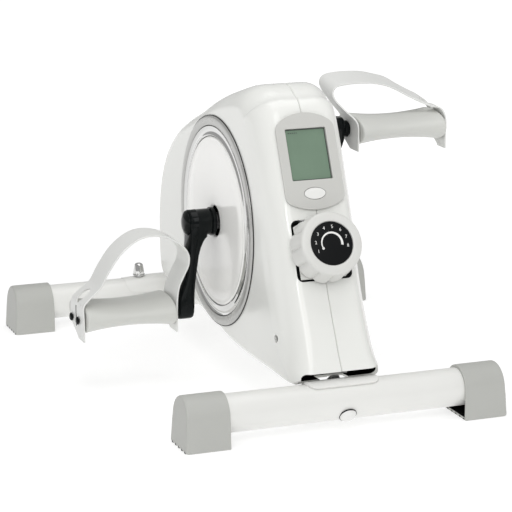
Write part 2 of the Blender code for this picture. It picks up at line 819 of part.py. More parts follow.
def shell_rings(side, inset, seam_x, steps=3):
    """Rings from the seam to the flat side. Each bends round by an amount that varies along the outline:
    nose is 1 on the front panel and 0 behind it, low is 1 near the floor, crest is 1 on the top's front end.
    """
    loop = [Vector(p) for p in spline_points(SHELL_OUTLINE, steps)]
    count = len(loop)
    bases, shapes = [], []
    for i, point in enumerate(loop):
        along = (loop[(i + 1) % count] - loop[i - 1]).normalized()
        out = Vector((-along.y, along.x))
        bases.append(point - out * inset)
        nose = max(0.0, out.x * -cos(PANEL_TILT) + out.y * sin(PANEL_TILT)) ** 2
        low = blend(0.0, 1.0, (0.28 - point.y) / 0.22)
        crest = blend(0.0, 1.0, (point.y - 0.255) / 0.040) * blend(0.0, 1.0, (out.y - 0.42) / 0.40)
        crest *= blend(1.0, 0.0, (point.x + 0.085) / 0.060)
        edge = blend(0.016, 0.009, -1.5 * out.y - 0.3) + 0.022 * crest
        edge *= blend(0.1, 1.0, max((point.x + 0.225) / 0.060, (point.y - 0.055) / 0.040))
        sweep = Vector((blend(0.035, 0.058, low), 0.0)) * nose - out * edge * (1 - nose)
        flat = blend(SHELL_HALF - edge, blend(0.031, 0.021, low), nose) - 0.016 * crest * nose
        shapes.append(Vector((sweep.x, sweep.y - 0.034 * crest * nose, flat)))
    rings = [[(side * seam_x, base.x, base.y) for base in bases]] + [[] for _ in SHELL_TURNS]
    for base, (back, down, flat) in zip(bases, smoothed(shapes, steps)):
        for ring, turn in zip(rings[1:], SHELL_TURNS):
            x = flat + (SHELL_HALF - flat) * cos(radians(turn)) - inset
            fall = 1 - sin(radians(turn))
            ring.append((side * x, base.x + back * fall, base.y + down * fall))
    return [ring[::-side] for ring in rings]


def shell_half(word, side):
    shell = loft(f"{word}_shell", shell_rings(side, 0.0, 0.0001), "white_plastic")
    hollow = loft(f"{word}_shell_hollow", shell_rings(side, WALL, -0.002), None)
    combine(shell, hollow)
    return shell


def panel_matrix(v, n):
    """The front panel's frame: local X across, local Y up the panel, local Z out of it."""
    up = Vector((0, sin(PANEL_TILT), cos(PANEL_TILT)))
    out = Vector((0, -cos(PANEL_TILT), sin(PANEL_TILT)))
    place = Vector((0, PANEL_Y, PANEL_Z)) + up * v + out * n
    across = Vector((1, 0, 0))
    return Matrix(
        (
            (across.x, up.x, out.x, place.x),
            (across.y, up.y, out.y, place.y),
            (across.z, up.z, out.z, place.z),
            (0, 0, 0, 1),
        )
    )


def rounded_square(half_u, half_v, radius, steps=4):
    corners = []
    for start, su, sv in ((0, 1, 1), (90, -1, 1), (180, -1, -1), (270, 1, -1)):
        for i in range(steps + 1):
            t = radians(start + 90 * i / steps)
            u, v = su * (half_u - radius), sv * (half_v - radius)
            corners.append((u + radius * cos(t), v + radius * sin(t)))
    return corners


def build_shell():
    front_y = -BAR_SPACING / 2
    rear_y = BAR_SPACING / 2
    shells = [shell_half("left", -1), shell_half("right", 1)]
    mouth = box("front_mouth", (-0.041, -0.26, 0.020), (0.060, -0.190, 0.0575))
    round_edges(mouth, 0.006, 3)
    cutters = [
        mouth,
        cylinder("front_tube_notch", TUBE_R + 0.0032, (-0.06, front_y, TUBE_Z), (0.06, front_y, TUBE_Z), sides=32),
        box("rear_frame_notch", (-0.0130, -0.030, 0.0350), (0.0130, 0.23, 0.0735)),
        plate("console_opening", bezel_outline(0.0015), [], 0.03, None, panel_matrix(0, 0)),
        plate("knob_opening", rounded_square(0.0289, 0.0304, 0.006), [], 0.03, None, panel_matrix(KNOB_V, 0)),
    ]
    for shell in shells:
        for cutter in cutters:
            combine(shell, cutter)
    for side, word, shell in ((-1, "left", shells[0]), (1, "right", shells[1])):
        opening = cylinder(
            f"{word}_side_opening",
            0.0800,
            (side * 0.040, 0, AXLE_Z),
            (side * 0.060, 0, AXLE_Z),
            sides=40,
        )
        combine(shell, opening)
        face = SHELL_HALF + GAP
        trim_ring(word, side, face)
        ends = (side * face, side * (face + 0.0024))
        ring_x(f"{word}_side_cover", COVER_R, 0.0160, *ends, 0, AXLE_Z, "white_plastic", 48)
        seat = SHELL_SCREWS[word]
        well = cylinder(f"{word}_screw_well", 0.0042, (side * 0.02, *seat), (side * 0.06, *seat), sides=16)
        combine(shell, well)
        cylinder(f"{word}_shell_screw", 0.0039, (side * 0.030, *seat), (side * 0.0435, *seat), "steel", 16)


def trim_ring(word, side, face):
    """A bright ring with a raised outer band and a dished inner band that falls to the cover."""
    inner = COVER_R + GAP
    profile = [
        (RING_R - 0.0015, 0.0022),
        (RING_R, 0.0010),
        (RING_R, 0.0),
        (inner, 0.0),
        (inner, 0.0012),
        (RING_SPLIT_R, 0.0009),
        (RING_SPLIT_R, 0.0022),
        (RING_R - 0.0015, 0.0022),
    ]
    return turned(f"{word}_trim_ring", profile, (side * face, 0, AXLE_Z), (side, 0, 0), "chrome", 44)


# Console and tension knob on the front panel

def bezel_outline(inset=0.0):
    """Straight sides with an arched head and foot."""
    half, low, high = 0.031 - inset, 0.0087, 0.0852
    rise, sag = 0.0120 - inset, 0.0095 - inset
    points = []
    for centre_sign, corner, height in ((1, high, rise), (-1, low, sag)):
        radius = (half**2 + height**2) / (2 * height)
        spread = atan2(half, radius - height)
        middle = corner + centre_sign * (height - radius)
        turns = [spread - 2 * spread * i / 10 for i in range(11)]
        arc = [(radius * sin(t), middle + centre_sign * radius * cos(t)) for t in turns]
        points += arc if centre_sign > 0 else arc[::-1]
    return points


def oval(half_u, half_v, v=0.0):
    return [(half_u * u, half_v * w + v) for u, w in circle(1.0, 20)]


def build_console():
    window = [(u, v + 0.0552) for u, v in rounded_square(0.0213, 0.0262, 0.0010, 1)]
    key_hole = oval(0.0115, 0.0062, 0.0154)
    holes = [window, key_hole]
    housing = plate("console_housing", bezel_outline(), holes, 0.0020, "grey_plastic", panel_matrix(0, 0.0022))
    back = plate("console_box", bezel_outline(0.0022), holes, 0.0116, "grey_plastic", panel_matrix(0, -0.0044))
    combine(housing, back, "UNION")
    glass = [(u, v + 0.0552) for u, v in rounded_square(0.0209, 0.0258, 0.0010, 1)]
    plate("lcd_screen", glass, [], 0.0020, "lcd", panel_matrix(0, -0.0002))
    plate("console_button", oval(0.0110, 0.0057), [], 0.0060, "white_plastic", panel_matrix(0.0154, 0.0003))
    board = rounded_square(0.0270, 0.0440, 0.002, 1)
    plate("console_circuit_board", board, [], 0.0016, "circuit", panel_matrix(0.0482, -0.0114))
    cells = rounded_square(0.0150, 0.0230, 0.002, 2)
    plate("battery_pack", cells, [], 0.0140, "black_plastic", panel_matrix(0.052, -0.0200))


def build_knob():
    rim = rounded_square(0.0285, 0.0300, 0.0055)
    floor = rounded_square(0.0270, 0.0285, 0.0045)
    shaft_hole = circle(0.0050, 20)
    tray = plate("knob_tray", rim, [shaft_hole], 0.0062, "black_plastic", panel_matrix(KNOB_V, -0.0076))
    pocket = plate("tray_pocket", floor, [], 0.0062, None, panel_matrix(KNOB_V, -0.0058))
    combine(tray, pocket)
    place = panel_matrix(KNOB_V, 0)
    out = place.to_3x3() @ Vector((0, 0, 1))
    middle = place.translation
    profile = [
        (0.0, 0.0250),
        (0.0220, 0.0250),
        (0.0220, 0.0265),
        (0.0305, 0.0262),
        (0.0318, 0.0245),
        (0.0345, 0.0030),
        (0.0340, 0.0012),
        (0.0040, 0.0012),
        (0.0040, -0.0220),
        (0.0100, -0.0220),
        (0.0100, -0.0300),
        (0.0, -0.0300),
    ]
    knob = turned("tension_knob", profile, middle, out, "light_plastic", sides=40)
    face = [(0.0, 0.0264), (0.0216, 0.0264), (0.0216, 0.0253), (0.0, 0.0253)]
    dial = turned("knob_dial", face, middle, out, "black_plastic", 40)
    group("knob_joint", middle, [knob, dial])


def build_cables():
    """The brake cable from the knob's drum to the magnet bracket, and the speed sensor's lead to the console."""
    drum = panel_matrix(KNOB_V + 0.0118, -0.026).translation
    brake_route = [
        tuple(drum),
        (-0.004, -0.118, 0.206),
        (-0.014, -0.060, 0.232),
        (-0.020, 0.010, 0.243),
        (-0.020, 0.060, 0.240),
        (-0.020, 0.079, 0.232),
        (-0.020, 0.086, 0.2225),
    ]
    wire("brake_cable", spline_points(brake_route, 4, closed=False), 0.0010, "black_plastic")
    sensor = box("speed_sensor", (0.0032, -0.012, 0.1815), (0.0110, 0.010, 0.1935), "black_plastic")
    board = panel_matrix(0.020, -0.0135).translation
    lead_route = [
        (0.0070, -0.0100, 0.1870),
        (0.0080, -0.0500, 0.2020),
        (0.0060, -0.0950, 0.2080),
        (0.0060, board.y + 0.012, 0.2140),
        (0.0060, board.y + 0.0010, board.z + 0.0020),
    ]
    lead = wire("sensor_lead", spline_points(lead_route, 4, closed=False), 0.0010, "black_plastic")
    combine(sensor, lead, "UNION")


clear_scene()
PARTS = make_collection("pedal_exerciser")
CUTTERS = make_collection("cutters")
build_stance()
build_frame()
build_cranks()
build_flywheel()
build_brake()
build_shell()
build_console()
build_knob()
build_cables()
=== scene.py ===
from math import acos, atan2, cos, pi, radians, sin, sqrt

import bmesh
import bpy
from mathutils import Matrix, Vector


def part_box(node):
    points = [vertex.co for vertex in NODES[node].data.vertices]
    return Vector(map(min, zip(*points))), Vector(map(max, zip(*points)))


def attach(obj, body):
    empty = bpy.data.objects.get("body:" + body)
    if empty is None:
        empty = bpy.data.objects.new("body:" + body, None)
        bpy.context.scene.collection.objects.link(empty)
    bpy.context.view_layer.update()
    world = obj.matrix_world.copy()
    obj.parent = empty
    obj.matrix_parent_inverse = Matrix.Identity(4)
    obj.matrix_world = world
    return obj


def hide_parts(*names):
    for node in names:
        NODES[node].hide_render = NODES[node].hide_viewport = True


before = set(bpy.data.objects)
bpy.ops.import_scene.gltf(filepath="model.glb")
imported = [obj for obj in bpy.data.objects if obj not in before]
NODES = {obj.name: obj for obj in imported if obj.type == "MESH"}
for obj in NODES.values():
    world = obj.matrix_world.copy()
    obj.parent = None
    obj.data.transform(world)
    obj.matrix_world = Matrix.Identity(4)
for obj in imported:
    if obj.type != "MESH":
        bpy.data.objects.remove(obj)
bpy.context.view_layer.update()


def middle_of(node):
    low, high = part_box(node)
    return (low + high) / 2


# Sizes that the CAD bodies share
AXLE_Z = middle_of("crank_axle").z
TUBE_Z = middle_of("front_stabilizer_tube").z
FRONT_Y = middle_of("front_stabilizer_tube").y
REAR_Y = middle_of("rear_stabilizer_tube").y
TUBE_R = 0.019
CRANK = 0.0875
SHELL_HALF = 0.047
PANEL_Y = -0.1579
PANEL_Z = 0.2037
PANEL_TILT = radians(24.9)
KNOB_V = -0.0397
RING_R = 0.1095
COVER_R = 0.088
SPLIT_R = 0.0985
GAP = 0.0003


# Materials

def new_material(name, metallic=0.0, coat=0.0, specular=0.5):
    made = bpy.data.materials.new(name)
    made.use_nodes = True
    shader = made.node_tree.nodes["Principled BSDF"]
    shader.inputs["Metallic"].default_value = metallic
    shader.inputs["Coat Weight"].default_value = coat
    shader.inputs["Coat Roughness"].default_value = 0.08
    shader.inputs["Specular IOR Level"].default_value = specular
    return made, made.node_tree, shader


def noise_node(tree, coords, scale, detail=3.0, stretch=None):
    node = tree.nodes.new("ShaderNodeTexNoise")
    node.inputs["Scale"].default_value = scale
    node.inputs["Detail"].default_value = detail
    if stretch:
        mapping = tree.nodes.new("ShaderNodeMapping")
        mapping.inputs["Scale"].default_value = stretch
        tree.links.new(coords, mapping.inputs["Vector"])
        coords = mapping.outputs["Vector"]
    tree.links.new(coords, node.inputs["Vector"])
    return node.outputs["Fac"]


def ramp(tree, source, low, high, colours):
    node = tree.nodes.new("ShaderNodeValToRGB")
    node.color_ramp.elements[0].position = low
    node.color_ramp.elements[1].position = high
    node.color_ramp.elements[0].color = (*colours[0], 1)
    node.color_ramp.elements[1].color = (*colours[1], 1)
    tree.links.new(source, node.inputs["Fac"])
    return node.outputs["Color"]


def spread(tree, source, low, high):
    node = tree.nodes.new("ShaderNodeMapRange")
    node.inputs["From Min"].default_value = 0.3
    node.inputs["From Max"].default_value = 0.7
    node.inputs["To Min"].default_value = low
    node.inputs["To Max"].default_value = high
    tree.links.new(source, node.inputs["Value"])
    return node.outputs["Result"]


def finish_of(
    name, colour, rough, metallic=0.0, coat=0.0, vary=0.03, broad=14.0, grain=1500.0, bump=0.05, depth=0.0002,
    stretch=None, specular=0.5, rough_vary=0.06,
):
    """A moulded, painted or metal finish: a slow drift of colour and roughness, a fine grain in height."""
    made, tree, shader = new_material(name, metallic, coat, specular)
    coords = tree.nodes.new("ShaderNodeTexCoord").outputs["Object"]
    slow = noise_node(tree, coords, broad)
    fine = noise_node(tree, coords, grain, 2.0, stretch)
    lighter = tuple(min(1.0, c * (1 + vary)) for c in colour)
    darker = tuple(c * (1 - vary) for c in colour)
    tree.links.new(ramp(tree, slow, 0.35, 0.65, (darker, lighter)), shader.inputs["Base Color"])
    tree.links.new(
        spread(tree, slow, rough * (1 - rough_vary), rough * (1 + rough_vary)),
        shader.inputs["Roughness"]
    )
    height = tree.nodes.new("ShaderNodeBump")
    height.inputs["Strength"].default_value = bump
    height.inputs["Distance"].default_value = depth
    tree.links.new(fine, height.inputs["Height"])
    tree.links.new(height.outputs["Normal"], shader.inputs["Normal"])
    return made


M = {
    "shell": finish_of(
        "shell_white_gloss", (0.81, 0.815, 0.785), 0.20, coat=0.15, vary=0.008, grain=900, bump=0.02
    ),
    "cover": finish_of(
        "cover_white_gloss", (0.93, 0.925, 0.90), 0.16, coat=0.2, vary=0.008, grain=900, bump=0.02
    ),
    "paint": finish_of(
        "white_powder_coat", (0.78, 0.78, 0.755), 0.30, coat=0.1, vary=0.012, grain=2600, bump=0.10
    ),
    "grey": finish_of("foot_cap_grey", (0.455, 0.46, 0.435), 0.45, vary=0.02, grain=3200, bump=0.20),
    "pedal": finish_of("pedal_grey", (0.60, 0.605, 0.575), 0.38, vary=0.02, grain=3000, bump=0.14),
    "bezel": finish_of("bezel_grey", (0.55, 0.55, 0.525), 0.36, vary=0.015, grain=3000, bump=0.10),
    "knob": finish_of("knob_grey", (0.66, 0.66, 0.635), 0.33, vary=0.015, grain=2600, bump=0.08),
    "strap": finish_of("strap_soft_grey", (0.75, 0.755, 0.735), 0.40, vary=0.02, grain=2000, bump=0.12),
    "black": finish_of(
        "black_gloss", (
            0.0025, 0.004, 0.0042
        ), 0.13, coat=0.10, vary=0.10, grain=1600, bump=0.06, specular=0.12
    ),
    "black_matte": finish_of(
        "black_satin", (0.004, 0.0045, 0.005), 0.42, vary=0.10, grain=2400, bump=0.15, specular=0.14
    ),
    "chrome": finish_of(
        "bright_chrome", (0.64, 0.64, 0.63), 0.05, metallic=1.0, vary=0.02, grain=1200, bump=0.008
    ),
    "satin": finish_of(
        "satin_silver", (0.47, 0.47, 0.455), 0.28, metallic=0.45, vary=0.02, grain=2400, bump=0.04
    ),
    "steel": finish_of(
        "zinc_steel", (0.60, 0.60, 0.61), 0.30, metallic=1.0, vary=0.06, grain=1500, bump=0.10
    ),
    "iron": finish_of(
        "turned_iron", (
            0.17, 0.17, 0.18
        ), 0.42, metallic=1.0, vary=0.15, grain=900, bump=0.3, stretch=(12, 1, 1)
    ),
    "belt": finish_of("belt_rubber", (0.025, 0.025, 0.025), 0.62, vary=0.2, grain=1400, bump=0.4),
    "white_key": finish_of(
        "button_white", (0.80, 0.80, 0.78), 0.24, coat=0.1, vary=0.01, grain=1800, bump=0.04
    ),
    "mark": finish_of("dial_mark_white", (0.78, 0.78, 0.76), 0.45, vary=0.02, grain=2000, bump=0.05),
    "cable": finish_of("cable_jacket", (0.02, 0.02, 0.02), 0.45, vary=0.1, grain=1800, bump=0.2),
    "board": finish_of(
        "board_green", (0.03, 0.20, 0.08), 0.35, vary=0.25, broad=300, grain=900, bump=0.4
    ),
    "segment": finish_of(
        "display_segment", (0.045, 0.060, 0.050), 0.30, vary=0.05, grain=1500, bump=0.02
    ),
    "display": finish_of(
        "display_grey_green", (
            0.165, 0.240, 0.175
        ), 0.25, coat=0.1, vary=0.03, broad=40, grain=1200, bump=0.01,
        specular=0.3,
    ),
}


# Mesh helpers

def object_from(name, shape, look, angle=30.0, weighted=False):
    bmesh.ops.recalc_face_normals(shape, faces=shape.faces)
    mesh = bpy.data.meshes.new(name)
    shape.to_mesh(mesh)
    shape.free()
    obj = bpy.data.objects.new(name, mesh)
    bpy.context.scene.collection.objects.link(obj)
    mesh.shade_smooth()
    mesh.set_sharp_from_angle(angle=radians(angle))
    if look:
        mesh.materials.append(M[look])
    if weighted:
        weigh(obj)
    return obj


def weigh(obj):
    normals = obj.modifiers.new("Normals", "WEIGHTED_NORMAL")
    normals.keep_sharp = True
    normals.weight = 60
    return obj


def loft_shape(rings, caps=True):
    shape = bmesh.new()
    loops = [[shape.verts.new(point) for point in ring] for ring in rings]
    count = len(loops[0])
    for low, high in zip(loops, loops[1:]):
        for i in range(count):
            j = (i + 1) % count
            shape.faces.new((low[i], low[j], high[j], high[i]))
    if caps:
        shape.faces.new(loops[0])
        shape.faces.new(loops[-1])
    return shape


def loft(name, rings, look, angle=30.0, caps=True, weighted=False):
    return object_from(name, loft_shape(rings, caps), look, angle, weighted)


def turned(name, profile, start, axis, look, sides=64, angle=30.0, radius_at=None):
    """A solid of revolution; radius_at(turn, radius, height) may shape it off the round."""
    place = Matrix.Translation(Vector(start)) @ Vector(axis).to_track_quat("Z", "Y").to_matrix().to_4x4()
    shape = bmesh.new()
    loops = []
    for radius, height in profile:
        if radius < 1e-6:
            loops.append([shape.verts.new(place @ Vector((0, 0, height)))])
            continue
        loop = []
        for i in range(sides):
            turn = 2 * pi * i / sides
            r = radius_at(turn, radius, height) if radius_at else radius
            loop.append(shape.verts.new(place @ Vector((r * cos(turn), r * sin(turn), height))))
        loops.append(loop)
    closed = profile[0] == profile[-1] and profile[0][0] > 1e-6
    pairs = list(zip(loops, loops[1:]))
    if closed:
        for vert in loops[-1]:
            shape.verts.remove(vert)
        pairs = list(zip(loops[:-1], loops[1:-1] + loops[:1]))
    for low, high in pairs:
        for i in range(sides):
            j = (i + 1) % sides
            if len(low) == 1:
                shape.faces.new((low[0], high[j], high[i]))
            elif len(high) == 1:
                shape.faces.new((low[i], low[j], high[0]))
            else:
                shape.faces.new((low[i], low[j], high[j], high[i]))
    return object_from(name, shape, look, angle)


def plate(name, outline, holes, thickness, look, matrix, bevel=0.0, segments=3):
    curve = bpy.data.curves.new(name, "CURVE")
    curve.dimensions = "2D"
    curve.fill_mode = "BOTH"
    curve.extrude = thickness / 2
    for points in [outline, *holes]:
        spline = curve.splines.new("POLY")
        spline.points.add(len(points) - 1)
        for point, (u, v) in zip(spline.points, points):
            point.co = (u, v, 0.0, 1.0)
        spline.use_cyclic_u = True
    obj = bpy.data.objects.new(name, curve)
    bpy.context.scene.collection.objects.link(obj)
    bpy.context.view_layer.update()
    mesh = bpy.data.meshes.new_from_object(obj.evaluated_get(bpy.context.evaluated_depsgraph_get()))
    bpy.data.objects.remove(obj)
    shape = bmesh.new()
    shape.from_mesh(mesh)
    bmesh.ops.remove_doubles(shape, verts=shape.verts, dist=1e-6)
    bmesh.ops.transform(shape, matrix=matrix, verts=shape.verts)
    made = object_from(name, shape, look)
    if bevel:
        soften(made, bevel, segments)
    return made


def soften(obj, width, segments=3, angle=35.0, weighted=True):
    bevel = obj.modifiers.new("Edges", "BEVEL")
    bevel.width = width
    bevel.segments = segments
    bevel.limit_method = "ANGLE"
    bevel.angle_limit = radians(angle)
    bevel.use_clamp_overlap = True
    if weighted:
        weigh(obj)
    return obj


def cut(obj, cutter, operation="DIFFERENCE"):
    boolean = obj.modifiers.new("Cut", "BOOLEAN")
    boolean.operation = operation
    boolean.material_mode = "TRANSFER"
    boolean.object = cutter
    return obj


def bake(obj, cutters=(), angle=30.0):
    """Applies the modifiers so that the cutters can go."""
    bpy.context.view_layer.update()
    mesh = bpy.data.meshes.new_from_object(obj.evaluated_get(bpy.context.evaluated_depsgraph_get()))
    obj.modifiers.clear()
    old = obj.data
    obj.data = mesh
    bpy.data.meshes.remove(old)
    mesh.shade_smooth()
    mesh.set_sharp_from_angle(angle=radians(angle))
    for cutter in cutters:
        bpy.data.objects.remove(cutter)
    return obj


def cylinder(name, radius, start, end, look=None, sides=48):
    axis = Vector(end) - Vector(start)
    return turned(
        name, [(0, 0), (radius, 0), (radius, axis.length), (0, axis.length)], start, axis, look,
        sides
    )


def box(name, low, high, look=None):
    shape = bmesh.new()
    bmesh.ops.create_cube(shape, size=1.0)
    bmesh.ops.scale(shape, vec=Vector(high) - Vector(low), verts=shape.verts)
    bmesh.ops.translate(shape, vec=(Vector(high) + Vector(low)) / 2, verts=shape.verts)
    return object_from(name, shape, look)


def circle(radius, sides=32, middle=(0.0, 0.0)):
    turns = [2 * pi * i / sides for i in range(sides)]
    return [(middle[0] + radius * cos(t), middle[1] + radius * sin(t)) for t in turns]


def smooth_path(points, steps, closed=True):
    """A Catmull-Rom curve through points."""
    count = len(points)
    result = []
    for i in range(count if closed else count - 1):
        if closed:
            four = [points[(i + k) % count] for k in (-1, 0, 1, 2)]
        else:
            four = [points[min(max(i + k, 0), count - 1)] for k in (-1, 0, 1, 2)]
        a, b, c, d = (Vector(p) for p in four)
        for k in range(steps):
            t = k / steps
            result.append(
                0.5 * (2 * b + (c - a) * t + (2 * a - 5 * b + 4 * c - d) * t**2 + (3 * b - a - 3 * c + d) * t**3)
            )
    if not closed:
        result.append(Vector(points[-1]))
    return result


def blend(low, high, t):
    t = min(max(t, 0.0), 1.0)
    return low + (high - low) * t


def rounded_square(half_u, half_v, radius, steps=6, middle=(0.0, 0.0)):
    corners = []
    for start, su, sv in ((0, 1, 1), (90, -1, 1), (180, -1, -1), (270, 1, -1)):
        for i in range(steps + 1):
            t = radians(start + 90 * i / steps)
            corners.append(
                (
                    middle[0] + su * (half_u - radius) + radius * cos(t),
                    middle[1] + sv * (half_v - radius) + radius * sin(t),
                )
            )
    return corners


def panel(v, n, u=0.0):
    """The front panel's frame: local X across, local Y up the panel, local Z out of it."""
    up = Vector((0, sin(PANEL_TILT), cos(PANEL_TILT)))
    out = Vector((0, -cos(PANEL_TILT), sin(PANEL_TILT)))
    place = Vector((u, PANEL_Y, PANEL_Z)) + up * v + out * n
    return Matrix(
        ((1, up.x, out.x, place.x), (0, up.y, out.y, place.y), (0, up.z, out.z, place.z), (0, 0, 0, 1))
    )


def put(piece, body, slot=None, *nodes):
    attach(piece, body)
    if nodes:
        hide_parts(*nodes)
    return piece


# The two halves of the shell

SHELL_OUTLINE = [
    (-0.2270, 0.0520),
    (-0.2150, 0.0765),
    (-0.1843, 0.1370),
    (-0.1579, 0.2037),
    (-0.1175, 0.2910),
    (-0.0985, 0.3070),
    (-0.0712, 0.3148),
    (-0.0250, 0.3020),
    (0.0180, 0.2865),
    (0.0600, 0.2685),
    (0.1040, 0.2510),
    (0.1420, 0.2320),
    (0.1730, 0.2060),
    (0.1930, 0.1740),
    (0.2025, 0.1350),
    (0.2010, 0.0900),
    (0.1880, 0.0610),
    (0.1500, 0.0545),
    (0.0652, 0.0525),
    (0.0100, 0.0475),
    (-0.0400, 0.0410),
    (-0.0900, 0.0395),
    (-0.1500, 0.0415),
    (-0.2050, 0.0430),
]
TURNS = (90, 80, 70, 60, 50, 40, 30, 20, 10, 0)
WALL = 0.0025


def smoothed(values, reach):
    """Each value averaged with its neighbours round the loop, the nearest counting most."""
    count = len(values)
    weights = [(k, reach + 1 - abs(k)) for k in range(-reach, reach + 1)]
    total = sum(weight for _, weight in weights)
    return [sum((values[(i + k) % count] * weight for k, weight in weights), Vector((0, 0, 0))) / total for i in range(count)]


def shell_rings(side, inset, seam_x, steps):
    """Rings from the seam to the flat side; the nose is rounder than the back, and more so low down."""
    loop = smooth_path(SHELL_OUTLINE, steps)
    count = len(loop)
    bases, outs, shapes = [], [], []
    for i, point in enumerate(loop):
        along = (loop[(i + 1) % count] - loop[i - 1]).normalized()
        out = Vector((-along.y, along.x))
        bases.append(point - out * inset)
        outs.append(out)
        nose = max(0.0, out.x * -cos(PANEL_TILT) + out.y * sin(PANEL_TILT)) ** 2
        low = blend(0.0, 1.0, (0.28 - point.y) / 0.22)
        crest = blend(0.0, 1.0, (point.y - 0.255) / 0.040) * blend(0.0, 1.0, (out.y - 0.42) / 0.40)
        crest *= blend(1.0, 0.0, (point.x + 0.085) / 0.060)
        edge = blend(0.016, 0.009, -1.5 * out.y - 0.3) + 0.022 * crest
        edge *= blend(0.1, 1.0, max((point.x + 0.225) / 0.060, (point.y - 0.055) / 0.040))
        sweep = Vector((blend(0.035, 0.058, low), 0.0)) * nose - out * edge * (1 - nose)
        flat = blend(SHELL_HALF - edge, blend(0.031, 0.021, low), nose) - 0.016 * crest * nose
        shapes.append(Vector((sweep.x, sweep.y - 0.034 * crest * nose, flat)))
    seam = [(seam_x, inset)] if inset else [(0.0001, 0.0010), (0.0007, 0.0)]
    rings = [[] for _ in range(len(seam) + len(TURNS))]
    for base, out, (back, down, flat) in zip(bases, outs, smoothed(shapes, 2 * steps - 1)):
        for ring, (x, step) in zip(rings, seam):
            spot = base - out * (0.0 if inset else step)
            ring.append((side * x, spot.x, spot.y))
        for ring, turn in zip(rings[len(seam):], TURNS):
            x = flat + (SHELL_HALF - flat) * cos(radians(turn)) - inset
            fall = 1 - sin(radians(turn))
            ring.append((side * x, base.x + back * fall, base.y + down * fall))
    return [ring[::-side] for ring in rings]


def triangulated(shape):
    """The same shape with its four-sided faces split, so that a Boolean cuts it cleanly."""
    bmesh.ops.triangulate(shape, faces=[face for face in shape.faces if len(face.verts) == 4])
    return shape


def shell_half(word, side, cutters):
    steps = 6 if side < 0 else 5
    outside = triangulated(loft_shape(shell_rings(side, 0.0, 0.0001, steps)))
    shell = object_from(f"{word}_shell_skin", outside, "shell")
    inside = triangulated(loft_shape(shell_rings(side, WALL, -0.002, steps)))
    # The inner cutter carries the black satin finish onto the shell's inside faces: painted shade inside the white
    # body.
    hollow = object_from(f"{word}_hollow", inside, "black_matte")
    well = SCREWS[word]
    own = [
        hollow,
        cylinder(
            f"{word}_opening", 0.080, (side * 0.040, 0, AXLE_Z), (side * 0.060, 0, AXLE_Z), None, 96
        ),
        cylinder(f"{word}_well", 0.0042, (side * 0.02, *well), (side * 0.06, *well), None, 32),
    ]
    for cutter in own[:1] + cutters + own[1:]:
        cut(shell, cutter)
    bake(shell, own, 24.0)
    weigh(shell)
    return put(shell, "base", "white_plastic", f"{word}_shell")


SCREWS = {"left": (-0.170, 0.080), "right": (-0.128, 0.205)}


def build_shell():
    mouth = box("mouth", (-0.041, -0.26, 0.020), (0.060, -0.206, 0.0575))
    soften(mouth, 0.006, 4, weighted=False)
    throat = box("throat", (-0.0150, -0.26, 0.020), (0.0150, -0.190, 0.0570))
    notch = cylinder("notch", TUBE_R + 0.0032, (-0.06, FRONT_Y, TUBE_Z), (0.06, FRONT_Y, TUBE_Z))
    rear = box("rear_notch", (-0.0130, -0.030, 0.0350), (0.0130, 0.23, 0.0735))
    head = plate("head_opening", bezel_outline(-0.0015), [], 0.03, None, panel(0, 0))
    tray = plate(
        "tray_opening", rounded_square(0.0289, 0.0304, 0.006), [], 0.03, None, panel(KNOB_V, 0)
    )
    cutters = [mouth, throat, notch, rear, head, tray]
    for side, word in ((-1, "left"), (1, "right")):
        shell_half(word, side, cutters)
        ring_and_cover(word, side)
        screw(word, side)
    for cutter in cutters:
        bpy.data.objects.remove(cutter)


def screw(word, side):
    y, z = SCREWS[word]
    start = (side * 0.0300, y, z)
    head = 0.0135
    profile = [
        (0, head - 0.0012), (0.0011, head - 0.0012), (0.0012, head - 0.0001),
        (0.0030, head - 0.0002)
    ]
    profile += [
        (0.0037, head - 0.0007), (0.0039, head - 0.0015), (0.0039, head - 0.0030),
        (0.0019, head - 0.0030)
    ]
    profile += [(0.0019, 0.001), (0.0012, 0), (0, 0)]
    piece = turned(f"{word}_shell_screw_head", profile, start, (side, 0, 0), "steel", 32)
    put(piece, "base", "steel", f"{word}_shell_screw")


